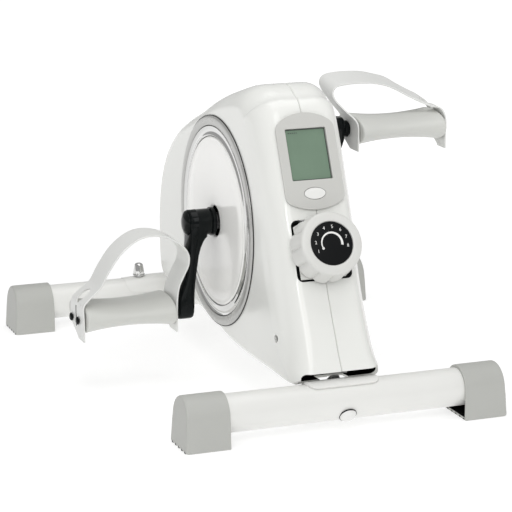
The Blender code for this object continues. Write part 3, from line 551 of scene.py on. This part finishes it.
def ring_and_cover(word, side):
    face = SHELL_HALF + GAP
    start = (side * face, 0, AXLE_Z)
    axis = (side, 0, 0)
    outer = [(SPLIT_R + 0.0012, 0.0), (SPLIT_R + 0.0012, 0.0016)]
    outer += [(SPLIT_R + 0.0020, 0.0021), (RING_R - 0.0020, 0.0022), (RING_R - 0.0008, 0.0018)]
    outer += [(RING_R - 0.0001, 0.0008), (RING_R, 0.0), (SPLIT_R + 0.0012, 0.0)]
    band = turned(f"{word}_trim_outer_band", outer, start, axis, "satin", 128, 40)
    put(band, "base", "chrome", f"{word}_trim_ring")
    inner = COVER_R + 0.0006
    width = SPLIT_R + 0.0008 - inner
    channel = [(inner, 0.0), (inner, 0.0014), (inner + 0.0006, 0.0020), (inner + 0.0014, 0.0019)]
    for i in range(1, 8):
        t = i / 8
        channel.append((inner + 0.0014 + (width - 0.0022) * t, 0.0019 - 0.0013 * sin(pi * t)))
    channel += [
        (inner + width - 0.0008, 0.0019), (inner + width - 0.0002, 0.0012), (inner + width, 0.0)
    ]
    channel.append((inner, 0.0))
    bright = turned(f"{word}_trim_channel", channel, start, axis, "chrome", 128, 40)
    put(bright, "base", "chrome", f"{word}_trim_ring")
    disc = [(COVER_R - 0.0002, 0.0), (COVER_R - 0.0001, 0.0012), (COVER_R - 0.0008, 0.0020)]
    disc += [(COVER_R - 0.0020, 0.0023), (COVER_R - 0.0032, 0.0018), (COVER_R - 0.0042, 0.0016)]
    disc += [(COVER_R - 0.0060, 0.0021), (COVER_R - 0.020, 0.0023), (0.030, 0.0024), (0.0190, 0.0024)]
    disc += [(0.0172, 0.0021), (0.0163, 0.0013), (0.0160, 0.0), (COVER_R - 0.0002, 0.0)]
    cover = turned(f"{word}_cover_disc", disc, start, axis, "cover", 128, 40)
    put(cover, "base", "white_plastic", f"{word}_side_cover")
    # Thin black rings at the trim's outer edge, at its split and at the cover's rim: painted shade in the gaps between
    # the parts.
    for tag, radius, wide in (
        ("outer", RING_R, 0.0007), ("split", SPLIT_R + 0.0007, 0.0006), ("inner", COVER_R, 0.0006)
    ):
        line = [
            (radius, 0.0), (radius, 0.0007), (radius + wide, 0.0007), (radius + wide, 0.0),
            (radius, 0.0)
        ]
        shadow_ring = turned(f"{word}_trim_shadow_ring_{tag}", line, start, axis, "black_matte", 128, 40)
        put(shadow_ring, "base", "black_plastic")


# Console

def bezel_outline(grow=0.0, steps=24):
    """Straight sides, an arched head and foot, and four rounded corners."""
    half, low, high = 0.031 + grow, 0.0087, 0.0852
    rise, sag = 0.0120 + grow, 0.0095 + grow
    points = []
    for sign, corner, height, reach in ((1, high, rise, 0.0065), (-1, low, sag, 0.0050)):
        radius = (half**2 + height**2) / (2 * height)
        opening = atan2(half, radius - height)
        middle = corner + sign * (height - radius)
        trim = reach / radius
        turns = [opening - trim - 2 * (opening - trim) * i / steps for i in range(steps + 1)]
        run = [(radius * sin(t), middle + sign * radius * cos(t)) for t in turns]
        curve = []
        for k in range(6):
            t = k / 6
            parts = ((1 - t) ** 2, 2 * t * (1 - t), t**2)
            u = parts[0] * half + parts[1] * half + parts[2] * run[0][0]
            v = parts[0] * (corner - sign * reach) + parts[1] * corner + parts[2] * run[0][1]
            curve.append((u, v))
        run = curve + run + [(-u, v) for u, v in reversed(curve)]
        points += run if sign > 0 else run[::-1]
    return points


def oval(half_u, half_v, v=0.0):
    return [(half_u * a, half_v * b + v) for a, b in circle(1.0, 48)]


def build_console():
    window = rounded_square(0.0213, 0.0262, 0.0010, 4, (0, 0.0552))
    key_hole = oval(0.0115, 0.0062, 0.0154)
    housing = plate(
        "console_bezel", bezel_outline(), [
            window, key_hole
        ], 0.0020, "bezel", panel(0, 0.0022), 0.0006, 3
    )
    put(housing, "base", "grey_plastic", "console_housing")
    back = plate(
        "console_well", bezel_outline(-0.0022), [window, key_hole], 0.0112, "bezel",
        panel(0, -0.0046)
    )
    put(back, "base", "grey_plastic", "console_housing")
    glass = rounded_square(0.0209, 0.0258, 0.0010, 4, (0, 0.0552))
    screen = plate("display_window", glass, [], 0.0018, "display", panel(0, -0.0002), 0.0002, 2)
    put(screen, "base", "lcd", "lcd_screen")
    border = plate(
        "display_border",
        rounded_square(0.02085, 0.02575, 0.0010, 4, (0, 0.0552)),
        [rounded_square(0.0202, 0.0250, 0.0006, 4, (0, 0.0552))],
        0.0001,
        "segment",
        panel(0, 0.00078),
    )
    put(border, "base", "lcd")
    for i, (u, v, wide, tall) in enumerate(segments()):
        bar = plate(f"display_segment_{i:02d}", rounded_square(wide, tall, tall * 0.6, 2, (u, v)), [], 0.00006, "segment",
                    panel(0, 0.00076))
        put(bar, "base", "lcd")
    key = plate(
        "oval_key", oval(0.0110, 0.0057, 0.0154), [], 0.0060, "white_key", panel(0, 0.0003), 0.0010,
        4
    )
    put(key, "button_unit", "white_plastic", "console_button")


def segments():
    """A row of small marks at the head of the display: plain bars that spell nothing."""
    return [(-0.0172 + 0.0021 * i, 0.0775, 0.0006, 0.00055) for i in range(5)]


# Tension knob

KNOB_LOBES = 12
DIAL_TOP = 0.02624


def build_knob():
    place = panel(KNOB_V, 0)
    out = place.to_3x3() @ Vector((0, 0, 1))
    middle = place.translation

    def scallop(turn, radius, height):
        if radius < 0.0300 or height < 0:
            return radius
        depth = 0.0012 * blend(0.0, 1.0, (0.0242 - height) / 0.006)
        wave = abs(sin(turn * KNOB_LOBES / 2))
        return radius - depth * (1 - wave) ** 2 * 2.0

    profile = [(0.0, 0.0250), (0.0218, 0.0250), (0.0220, 0.0252), (0.0221, 0.0262), (0.0226, 0.0266)]
    profile += [
        (0.0240, 0.0267), (0.0285, 0.0266), (0.0302, 0.0262), (0.0311, 0.0254), (0.0316, 0.0240)
    ]
    profile += [
        (0.0322, 0.0190), (0.0331, 0.0120), (0.0339, 0.0060), (0.0344, 0.0030), (0.0344, 0.0020)
    ]
    profile += [
        (0.0340, 0.0012), (0.0040, 0.0012), (0.0040, -0.0220), (0.0100, -0.0220), (0.0100, -0.0300)
    ]
    profile += [(0.0, -0.0300)]
    knob = turned("knob_grip", profile, middle, out, "knob", 288, 40, scallop)
    put(knob, "knob_unit", "light_plastic", "tension_knob")
    face = [
        (0.0, 0.0262), (0.0206, 0.0262), (0.0214, 0.0260), (0.0216, 0.0255), (0.0216, 0.0253),
        (0.0, 0.0253)
    ]
    dial = turned("dial_face", face, middle, out, "black_matte", 96, 40)
    put(dial, "knob_unit", "black_plastic", "knob_dial")
    marks = []
    sweep = [radians(a) for a in range(-12, 205, 6)]
    outer, inner = [], []
    for i, t in enumerate(sweep):
        wide = 0.0024 - 0.0013 * i / len(sweep)
        outer.append(((0.0106 + wide / 2) * cos(t), (0.0106 + wide / 2) * sin(t)))
        inner.append(((0.0106 - wide / 2) * cos(t), (0.0106 - wide / 2) * sin(t)))
    marks.append(("dial_arc", outer + inner[::-1]))
    end = (0.0106 * cos(sweep[-1]), 0.0106 * sin(sweep[-1]))
    marks.append(("dial_arc_end", circle(0.0013, 16, end)))
    for name, outline in marks:
        piece = plate(name, outline, [], 0.00008, "mark", panel(KNOB_V, DIAL_TOP))
        put(piece, "knob_unit", "black_plastic")
    for i in range(8):
        turn = radians(205 - 31 * i)
        number = figure(
            f"dial_number_{i + 1}", str(i + 1), 0.0046, (0.0165 * cos(turn), 0.0165 * sin(turn))
        )
        put(number, "knob_unit", "black_plastic")
    collar = [
        (-0.0272, -0.0288), (0.0195, -0.0288), (0.0272, -0.0215), (0.0272, 0.0215), (0.0235, 0.0288)
    ]
    collar += [(-0.0165, 0.0288), (-0.0272, 0.0235)]
    skirt = plate(
        "knob_seat", collar, [circle(0.0060, 32)], 0.0008, "knob", panel(KNOB_V, -0.0001), 0.0003, 2
    )
    put(skirt, "base", "light_plastic")


def figure(name, text, size, middle):
    """A generic numeral on the dial's face."""
    curve = bpy.data.curves.new(name, "FONT")
    curve.body = text
    curve.size = size
    curve.align_x = "CENTER"
    curve.align_y = "CENTER"
    curve.extrude = 0.00004
    curve.resolution_u = 2
    obj = bpy.data.objects.new(name, curve)
    bpy.context.scene.collection.objects.link(obj)
    bpy.context.view_layer.update()
    mesh = bpy.data.meshes.new_from_object(obj.evaluated_get(bpy.context.evaluated_depsgraph_get()))
    bpy.data.objects.remove(obj)
    shape = bmesh.new()
    shape.from_mesh(mesh)
    bmesh.ops.remove_doubles(shape, verts=shape.verts, dist=1e-6)
    place = panel(KNOB_V, DIAL_TOP) @ Matrix.Translation((*middle, 0.0))
    bmesh.ops.transform(shape, matrix=place, verts=shape.verts)
    return object_from(name, shape, "mark")


# Cranks, pedals and straps

def crank_arm(word, side, way):
    stations = (
        (-0.0127, 0.0640, 0.0775, 0.0030),
        (-0.0105, 0.0625, 0.0790, 0.0085),
        (-0.0060, 0.0610, 0.0797, 0.0124),
        (0.000, 0.0600, 0.0799, 0.0136),
        (0.008, 0.0603, 0.0800, 0.0131),
        (0.0138, 0.0600, 0.0802, 0.0121),
        (0.0160, 0.0622, 0.0803, 0.0117),
        (0.0190, 0.0642, 0.0804, 0.0113),
        (0.0250, 0.0668, 0.0810, 0.0106),
        (0.0340, 0.0692, 0.0816, 0.0101),
        (0.046, 0.0710, 0.0826, 0.0101),
        (0.055, 0.0723, 0.0846, 0.0105),
        (0.063, 0.0734, 0.0876, 0.0110),
        (0.071, 0.0741, 0.0906, 0.0115),
        (0.078, 0.0745, 0.0928, 0.0118),
        (0.0875, 0.0746, 0.0934, 0.0118),
        (0.0935, 0.0748, 0.0934, 0.0114),
        (0.0980, 0.0754, 0.0930, 0.0100),
        (0.1003, 0.0768, 0.0920, 0.0070),
    )
    rings = []
    for reach, low, high, half in stations:
        z = AXLE_Z + way * reach
        mid = (low + high) / 2
        deep = (high - low) / 2
        ring = []
        for k in range(32):
            t = 2 * pi * k / 32
            c, s = cos(t), sin(t)
            power = 0.42
            ring.append(
                (
                    side * (mid + deep * abs(c) ** power * (1 if c > 0 else -1)),
                    half * abs(s) ** power * (1 if s > 0 else -1),
                    z,
                )
            )
        rings.append(ring)
    arm = loft(f"{word}_crank_casting", rings, "black", 50)
    span = [
        (0.0, 0.0), (0.0120, 0.0), (0.0132, -0.0004), (0.0137, -0.0012), (0.0137, -0.0085),
        (0.0139, -0.0090)
    ]
    span += [
        (0.0137, -0.0095), (0.0137, -0.0232), (0.0131, -0.0240), (0.0131, -0.0246),
        (0.0146, -0.0248)
    ]
    span += [
        (0.0149, -0.0252), (0.0149, -0.0280), (0.0146, -0.0286), (0.0086, -0.0286),
        (0.0086, -0.0290), (0.0, -0.0290)
    ]
    barrel = turned(
        f"{word}_crank_barrel", span[:-2] + [(0.0, -0.0286)], (side * 0.0800, 0, AXLE_Z),
        (side, 0, 0), "black", 64
    )
    put(arm, "crank_set", "black_paint", f"{word}_crank_arm")
    put(barrel, "crank_set", "black_paint", f"{word}_crank_arm")
    cap = [
        (0.0, 0.0045), (0.0030, 0.0044), (0.0060, 0.0039), (0.0085, 0.0032), (0.0108, 0.0021),
        (0.0120, 0.0013)
    ]
    cap += [(0.0127, 0.0006), (0.0128, 0.0), (0.0, 0.0)]
    dome = turned(f"{word}_hub_dome", cap, (side * 0.0803, 0, AXLE_Z), (side, 0, 0), "black", 64)
    put(dome, "crank_set", "black_plastic", f"{word}_crank_cap")
    z = AXLE_Z + way * CRANK
    foot = 0.0795
    rod = [
        (0.0, 0.1120), (0.0050, 0.1120), (0.0060, 0.1110), (0.0060, 0.0192), (0.0084, 0.0190),
        (0.0088, 0.0186)
    ]
    rod += [(0.0088, 0.0148), (0.0085, 0.0143), (0.0060, 0.0143), (0.0060, 0.0), (0.0, 0.0)]
    spindle = turned(f"{word}_spindle_rod", rod, (side * foot, 0, z), (side, 0, 0), "black", 40)
    put(spindle, "crank_set", "steel", f"{word}_pedal_spindle")
    return arm


PEDAL_SECTION = [
    (0.000, 0.0160),
    (-0.0060, 0.0160),
    (-0.0150, 0.0152),
    (-0.0245, 0.0126),
    (-0.0330, 0.0078),
    (-0.0362, 0.0015),
    (-0.0340, -0.0052),
    (-0.0270, -0.0112),
    (-0.0180, -0.0146),
    (-0.0080, -0.0158),
    (0.000, -0.0160),
    (0.0080, -0.0158),
    (0.0180, -0.0146),
    (0.0270, -0.0112),
    (0.0340, -0.0052),
    (0.0362, 0.0015),
    (0.0330, 0.0078),
    (0.0245, 0.0126),
    (0.0150, 0.0152),
    (0.0060, 0.0160),
]


def pedal(word, side, z):
    section = smooth_path(PEDAL_SECTION, 3)
    inner, outer = 0.1025, 0.198
    rings = []
    stops = [(0.0, 0.0028), (0.004, 0.0012), (0.012, 0.0004), (0.024, 0.0)]
    stops += [(0.024 + 0.952 * i / 16, 0.0) for i in range(1, 16)]
    stops += [(0.976, 0.0), (0.988, 0.0004), (0.996, 0.0012), (1.0, 0.0028)]
    for along, end in stops:
        waist = 4 * along * (1 - along)
        tall = (0.0155 - 0.0042 * waist - end) / 0.0160
        deep = (0.0370 - 0.0030 * waist - end) / 0.0362
        x = side * (inner + (outer - inner) * along)
        rings.append([(x, p.x * deep, z + p.y * tall) for p in section])
    body = loft(f"{word}_pedal_tread", rings, "pedal", 50)
    bore = cylinder("bore", 0.0065, (side * 0.09, 0, z), (side * 0.1925, 0, z), None, 40)
    cut(body, bore)
    bake(body, [bore], 40)
    weigh(body)
    put(body, f"{word}_pedal_unit", "grey_plastic", f"{word}_pedal")


# Each place on a strap: along the axle, height over the spindle, shift back, rear edge over the middle
STRAP_PATHS = {
    "left": [
        (0.1006, -0.0200, -0.003, 0.0),
        (0.1006, -0.0040, -0.003, 0.0),
        (0.1002, 0.0090, -0.003, 0.0),
        (0.0970, 0.0240, -0.003, 0.0),
        (0.0905, 0.0380, -0.003, 0.0),
        (0.0855, 0.0490, -0.003, 0.0),
        (0.0860, 0.0600, -0.003, 0.0),
        (0.0935, 0.0700, -0.003, 0.0),
        (0.1085, 0.0790, -0.003, 0.0),
        (0.1270, 0.0820, -0.003, 0.0),
        (0.1430, 0.0775, -0.003, 0.0),
        (0.1590, 0.0650, -0.003, 0.0),
        (0.1720, 0.0470, -0.003, 0.0),
        (0.1810, 0.0315, -0.003, 0.0),
        (0.1940, 0.0210, -0.003, 0.0),
        (0.1998, 0.0135, -0.003, 0.0),
        (0.2000, -0.0040, -0.003, 0.0),
        (0.2000, -0.0215, -0.003, 0.0),
    ],
    "right": [
        (0.1006, -0.0200, -0.003, 0.0),
        (0.1006, -0.0040, -0.003, 0.0),
        (0.1004, 0.0080, -0.002, 0.0),
        (0.0985, 0.0140, 0.001, 0.0005),
        (0.0950, 0.0190, 0.006, 0.0010),
        (0.0912, 0.0255, 0.014, 0.0020),
        (0.0878, 0.0330, 0.024, 0.0030),
        (0.0874, 0.0400, 0.030, 0.0035),
        (0.0920, 0.0460, 0.031, 0.0035),
        (0.1030, 0.0485, 0.029, 0.0035),
        (0.1180, 0.0490, 0.028, 0.0035),
        (0.1330, 0.0480, 0.028, 0.0035),
        (0.1480, 0.0445, 0.028, 0.0035),
        (0.1600, 0.0400, 0.026, 0.0045),
        (0.1720, 0.0330, 0.021, 0.0042),
        (0.1820, 0.0275, 0.013, 0.0038),
        (0.1905, 0.0235, 0.007, 0.0030),
        (0.1972, 0.0190, 0.001, 0.0),
        (0.2003, 0.0120, -0.003, 0.0),
        (0.2003, -0.0040, -0.003, 0.0),
        (0.2003, -0.0230, -0.003, 0.0),
    ],
}
STRAP_T = 0.0018
STRAP_HALF = 0.019


def strap(word, side, z):
    path = smooth_path(STRAP_PATHS[word], 8, closed=False)
    last = len(path) - 1
    rings = []
    for i, (along, height, shift, tilt) in enumerate(path):
        ahead = path[min(i + 1, last)] - path[max(i - 1, 0)]
        out = Vector((-ahead[1], ahead[0])).normalized()
        plate_like = blend(1.0, 0.0, (height - 0.006) / 0.022)
        drop = height + 0.021
        rear = STRAP_HALF + 0.0015 * plate_like - 0.026 * blend(1.0, 0.0, drop / 0.013)
        front = -STRAP_HALF - 0.0060 * plate_like
        half, lip = STRAP_T / 2, 0.0005
        section = [
            (front, lip - half),
            (front, half - lip),
            (front + lip * 0.4, half - lip * 0.3),
            (front + lip, half),
            (rear - lip, half),
            (rear - lip * 0.4, half - lip * 0.3),
            (rear, half - lip),
            (rear, lip - half),
            (rear - lip * 0.4, lip * 0.3 - half),
            (rear - lip, -half),
            (front + lip, -half),
            (front + lip * 0.4, lip * 0.3 - half),
        ]
        rings.append(
            [
                (
                    side * (along + out.x * face), shift + y,
                    z + height + out.y * face + tilt * y / STRAP_HALF
                )
                for y, face in section
            ]
        )
    band = loft(f"{word}_strap_band", rings, "strap", 40)
    upright = Matrix(((0, 0, 1, side * 0.2), (1, 0, 0, 0), (0, 1, 0, z), (0, 0, 0, 1)))
    slot_y, slot_z, slot_turn = {"left": (-0.0030, 0.0208, 48), "right": (0.0045, 0.0218, 30)}[word]
    slope = Matrix.Translation((side * 0.1925, slot_y, z + slot_z)) @ Matrix.Rotation(side * radians(slot_turn), 4, "Y")
    oval_slot = [(0.0095 * u, 0.0078 * v) for u, v in circle(1.0, 32)]
    holes = [
        plate("slot", oval_slot, [], 0.014, None, slope),
        plate(
            "slit", rounded_square(0.0016, 0.0110, 0.0005, 2, (-0.0020, 0.0010)), [], 0.010, None,
            upright
        ),
        plate("pin_hole", circle(0.0008, 12, (-0.0150, -0.0185)), [], 0.010, None, upright),
        plate("pin_eye", circle(0.0009, 12, (-0.0165, 0.0150)), [], 0.010, None, upright),
        cylinder("end_hole", 0.0075, (side * 0.096, 0, z), (side * 0.110, 0, z), None, 32),
    ]
    for hole in holes:
        cut(band, hole)
    bake(band, holes, 40)
    weigh(band)
    put(band, f"{word}_pedal_unit", "strap", f"{word}_foot_strap")
    # A thin black sheet inside the slit: painted shade in the slit.
    slit_shade = Matrix.Translation((side * 0.0008, 0, 0)) @ upright
    slit_shade = plate(
        f"{word}_slit_shade_sheet", rounded_square(0.0015, 0.0109, 0.0004, 2, (-0.0020, 0.0010)), [],
        0.0004, "black_matte", slit_shade
    )
    put(slit_shade, f"{word}_pedal_unit", "black_plastic")
    for tag in ("front", "rear"):
        node = f"{word}_strap_stud_{tag}"
        middle = middle_of(node)
        start = (side * 0.1985, middle.y, middle.z)
        head = [(0.0, 0.0060), (0.0016, 0.0059), (0.0030, 0.0055), (0.0039, 0.0048), (0.0042, 0.0041)]
        head += [(0.0041, 0.0036), (0.0036, 0.0033), (0.0022, 0.0032), (0.0022, 0.0), (0.0, 0.0)]
        stud = turned(f"{word}_stud_{tag}", head, start, (side, 0, 0), "black", 32)
        put(stud, f"{word}_pedal_unit", "black_plastic", node)


def build_cranks():
    for side, word, way in ((-1, "left", -1), (1, "right", 1)):
        z = AXLE_Z + way * CRANK
        crank_arm(word, side, way)
        pedal(word, side, z)
        strap(word, side, z)


# Stand

def cap_section(shrink=0.0, lift_by=0.0):
    half = 0.024
    crown = 0.0215
    crown_z = TUBE_Z + 0.0005
    points = [(crown * cos(t), crown_z + crown * sin(t)) for t in (pi * i / 32 for i in range(33))]
    wall = [(half - 0.0008, 0.010), (crown + 0.0012, 0.022)]
    right = [(half - 0.0015, 0.0), (half - 0.0004, 0.0005), (half, 0.0016), *wall]
    outline = right + points + [(-u, v) for u, v in reversed(right)]
    centre = 0.0235
    result = []
    for u, v in outline:
        scale = 1 - shrink
        result.append((u * scale, max(centre + (v - centre) * scale + lift_by, 0.0)))
    return result


def foot_cap(word, side, y, length):
    """A moulded cap: drafted outer end, socket for the tube, a hollow under it whose faces are painted black as shade,
    and grooves across its underside.
    """
    outer = side * length / 2
    inner = side * (length / 2 - 0.045)
    stations = [
        (0.0, 0.010), (0.0006, 0.002), (0.0016, 0.0), (0.0405, 0.0), (0.0425, 0.005),
        (0.0438, 0.018)
    ]
    stations += [(0.0446, 0.040), (0.0450, 0.075)]
    rings = []
    for reach, shrink in stations:
        draft = 0.0022 * max(0.0, reach - 0.035) / 0.010
        rings.append([(inner + side * (reach - draft * v / 0.044), y + u, v) for u, v in cap_section(shrink)])
    body = loft(f"{word}_cap_body", rings, "grey", 40)
    deep = inner + side * 0.040
    cutters = [
        cylinder(
            "socket", TUBE_R + GAP, (inner - side * 0.01, y, TUBE_Z),
            (inner + side * 0.0283, y, TUBE_Z), None, 64
        ),
        # The cavity cutter carries black satin onto the hollow's faces: painted shade under the cap.
        box(
            "hollow", (min(inner - side * 0.01, deep), y - 0.0205, 0.0028),
            (max(inner - side * 0.01, deep), y + 0.0205, 0.0200), "black_matte"
        ),
    ]
    for k in range(5):
        middle = y - 0.018 + 0.009 * k
        low = (min(inner, outer) - 0.01, middle - 0.0017, -0.001)
        cutters.append(box("groove", low, (max(inner, outer) + 0.01, middle + 0.0017, 0.0020)))
    for cutter in cutters:
        cut(body, cutter)
    bake(body, cutters, 35)
    weigh(body)
    put(body, "base", "grey_plastic", f"{word}_foot_cap")
    # Five black strips laid in the grooves: painted shade in the grooves.
    groove_fill_mesh = bmesh.new()
    for k in range(5):
        made = bmesh.ops.create_cube(groove_fill_mesh, size=1.0)["verts"]
        bmesh.ops.scale(groove_fill_mesh, vec=(0.0446, 0.0032, 0.0019), verts=made)
        bmesh.ops.translate(
            groove_fill_mesh, vec=((inner + outer) / 2, y - 0.018 + 0.009 * k, 0.00095), verts=made
        )
    groove_shade = object_from(f"{word}_cap_groove_shade", groove_fill_mesh, "black_matte")
    soften(groove_shade, 0.0003, 2)
    put(groove_shade, "base", "black_plastic")


def tube(word, y, length):
    half = length / 2 - 0.045 + 0.028
    outer, inner = TUBE_R, TUBE_R - 0.0015
    profile = [(inner, 0.0), (outer - 0.0003, 0.0), (outer, 0.0003), (outer, 2 * half - 0.0003)]
    profile += [(outer - 0.0003, 2 * half), (inner, 2 * half), (inner, 0.0)]
    body = turned(f"{word}_tube_body", profile, (-half, y, TUBE_Z), (1, 0, 0), "paint", 96)
    put(body, "base", "white_paint", f"{word}_stabilizer_tube")


def saddle(word, y, half_length, start, end, slope, feather):
    """A rolled plate on the tube's top; its ends slope back where slope is above zero and thin out over feather."""
    inner = TUBE_R + GAP
    turns = 28
    along = 40
    rings = []
    for i in range(along + 1):
        x = -half_length + 2 * half_length * i / along
        edge = max(0.0, abs(x) - (half_length - 0.010)) / 0.010
        trim = slope * (1 - sqrt(max(0.0, 1 - edge**2)))
        low, high = start + trim, end - trim
        outer = inner + blend(0.0003, 0.002, (half_length - abs(x)) / feather)
        outer_run, inner_run = [], []
        for k in range(turns + 1):
            t = low + (high - low) * k / turns
            outer_run.append((x, y + outer * cos(t), TUBE_Z + outer * sin(t)))
            inner_run.append((x, y + inner * cos(t), TUBE_Z + inner * sin(t)))
        rings.append(outer_run + inner_run[::-1])
    body = loft(f"{word}_saddle_plate", rings, "paint", 40)
    soften(body, 0.0004, 2)
    put(body, "base", "white_paint", f"{word}_saddle")


def carriage_head(name, node, x, y, direction, reach, look="steel", slot="steel"):
    seat = TUBE_R + GAP
    profile = [
        (0.0, seat + 0.0046), (0.0018, seat + 0.0045), (0.0040, seat + 0.0038),
        (0.0058, seat + 0.0029)
    ]
    profile += [
        (0.0073, seat + 0.0018), (0.0081, seat + 0.0008), (0.0084, seat), (0.0040, seat),
        (0.0040, -reach)
    ]
    profile += [(0.0034, -reach - 0.0006), (0.0, -reach - 0.0006)]
    bolt = turned(name, profile, (x, y, TUBE_Z), direction, look, 48)
    # A thin black ring round the head's rim: painted shadow where the head sits in its seat.
    line = [
        (0.0083, seat - 0.0010), (0.0083, seat + 0.0002), (0.0088, seat + 0.0002),
        (0.0088, seat - 0.0010)
    ]
    put(
        turned(f"{name}_seat", line + line[:1], (x, y, TUBE_Z), direction, "black_matte", 48),
        "base", "black_plastic"
    )
    put(bolt, "base", slot, node)


def dome_nut(word, x):
    """A tall domed nut on a low collar: six faint flats that fade out under the dome."""
    base = TUBE_Z + TUBE_R + GAP + 0.002 + GAP

    def hexed(turn, r, height):
        flat = 0.93 / cos(((turn + pi / 6) % (pi / 3)) - pi / 6)
        return r * min(1.0, flat) if 0.0020 < height < 0.0120 and r > 0.0045 else r

    profile = [(0.0, 0.0143), (0.0018, 0.0142), (0.0033, 0.0137), (0.0044, 0.0128), (0.0050, 0.0116)]
    profile += [
        (0.0053, 0.0100), (0.0058, 0.0070), (0.0063, 0.0034), (0.0064, 0.0021), (0.0061, 0.0016)
    ]
    profile += [
        (0.0068, 0.0014), (0.0070, 0.0010), (0.0070, 0.0004), (0.0066, 0.0001), (0.0043, 0.0),
        (0.0, 0.0)
    ]
    nut = turned(f"{word}_dome_cap", profile, (x, REAR_Y, base), (0, 0, 1), "chrome", 96, 40, hexed)
    put(nut, "base", "chrome", f"rear_{word}_dome_nut")


def build_stand():
    tilt = 0.62
    ahead = Vector((0.0, -cos(tilt), -sin(tilt)))
    down = Vector((0.0, 0.0, -1.0))
    tube("front", FRONT_Y, 0.335)
    tube("rear", REAR_Y, 0.425)
    saddle("front", FRONT_Y, 0.038, radians(22), radians(122), 0.55, 0.002)
    saddle("rear", REAR_Y, 0.080, radians(40), radians(163), 0.5, 0.030)
    for side, word in ((-1, "left"), (1, "right")):
        foot_cap(f"front_{word}", side, FRONT_Y, 0.335)
        foot_cap(f"rear_{word}", side, REAR_Y, 0.425)
        carriage_head(
            f"rear_{word}_bolt_head", f"rear_{word}_carriage_bolt", side * 0.061, REAR_Y, down,
            0.0280
        )
        dome_nut(word, side * 0.061)
    # The front bolt's dome takes the white button finish: painted reflection of the white surroundings on a metal head.
    carriage_head("front_bolt_dome", "front_carriage_bolt", 0.0, FRONT_Y, ahead, 0.0270, "white_key")


# CAD nodes that keep their shape get their finish here

KEPT = {
    "main_frame": "paint",
    "front_bolt_nut": "steel",
    "crank_axle": "steel",
    "left_crank_bearing": "steel",
    "right_crank_bearing": "steel",
    "drive_pulley": "black_matte",
    "drive_belt": "belt",
    "flywheel": "iron",
    "flywheel_axle": "steel",
    "flywheel_left_bearing": "steel",
    "flywheel_right_bearing": "steel",
    "magnet_bracket": "steel",
    "brake_magnet": "iron",
    "return_spring": "steel",
    "brake_cable": "cable",
    "speed_sensor": "black_matte",
    "console_circuit_board": "board",
    "battery_pack": "black_matte",
    "knob_tray": "black_matte",
}


def finish_kept():
    for node, look in KEPT.items():
        obj = NODES[node]
        obj.data.materials.clear()
        obj.data.materials.append(M[look])
    for node, width in (("main_frame", 0.0015), ("knob_tray", 0.0004)):
        soften(NODES[node], width, 3)


# Stage

def build_stage():
    camera_data = bpy.data.cameras.new("camera")
    camera_data.lens = 156.0
    camera_data.sensor_width = 36.0
    camera_data.clip_end = 30.0
    camera = bpy.data.objects.new("camera", camera_data)
    bpy.context.scene.collection.objects.link(camera)
    eye = Vector((-0.8034, -2.1159, 0.6821))
    target = Vector((-0.0034, 0.0, 0.1202))
    camera.location = eye
    camera.rotation_euler = (target - eye).to_track_quat("-Z", "Y").to_euler()
    bpy.context.scene.camera = camera

    floor_mat, tree, shader = new_material("pale_floor", specular=0.1)
    coords = tree.nodes.new("ShaderNodeTexCoord").outputs["Object"]
    slow = noise_node(tree, coords, 2.0)
    tree.links.new(
        ramp(tree, slow, 0.3, 0.7, ((0.49, 0.49, 0.49), (0.50, 0.50, 0.50))),
        shader.inputs["Base Color"]
    )
    shader.inputs["Roughness"].default_value = 0.8
    shader.inputs["Emission Color"].default_value = (1.0, 1.0, 1.0, 1.0)
    away = tree.nodes.new("ShaderNodeVectorMath")
    away.operation = "LENGTH"
    tree.links.new(coords, away.inputs[0])
    glow = spread(tree, away.outputs["Value"], 0.62, 0.82)
    glow.node.inputs["From Min"].default_value = 0.5
    glow.node.inputs["From Max"].default_value = 1.2
    tree.links.new(glow, shader.inputs["Emission Strength"])
    shape = bmesh.new()
    bmesh.ops.create_grid(shape, x_segments=2, y_segments=2, size=6.0)
    floor = object_from("floor", shape, None)
    floor.data.materials.append(floor_mat)

    world = bpy.data.worlds.new("studio")
    bpy.context.scene.world = world
    world.use_nodes = True
    back = world.node_tree.nodes["Background"]
    back.inputs["Color"].default_value = (1.0, 1.0, 1.0, 1.0)
    back.inputs["Strength"].default_value = 0.45

    def lamp(name, place, aim, size, power, tall=None):
        data = bpy.data.lights.new(name, "AREA")
        data.energy = power
        data.shape = "RECTANGLE"
        data.size = size
        data.size_y = tall or size
        obj = bpy.data.objects.new(name, data)
        obj.location = place
        obj.rotation_euler = (Vector(aim) - Vector(place)).to_track_quat("-Z", "Y").to_euler()
        bpy.context.scene.collection.objects.link(obj)

    lamp("key", (-0.3, -2.2, 1.9), (0, 0, 0.15), 1.6, 16)
    lamp("strip", (-0.95, -1.60, 1.25), (0, 0, 0.15), 0.12, 3.5, 1.0)
    lamp("fill", (1.8, -1.4, 1.2), (0, 0, 0.15), 1.6, 1.5)
    lamp("top", (0.0, -0.1, 2.2), (0, 0, 0.1), 1.8, 17)
    lamp("spark", (-1.25, -1.75, 1.15), (0, 0, 0.15), 0.09, 2.0)
    scene = bpy.context.scene
    scene.view_settings.view_transform = "Standard"
    scene.view_settings.look = "None"


build_stage()
build_stand()
build_shell()
build_console()
build_knob()
build_cranks()
finish_kept()
bpy.context.view_layer.update()
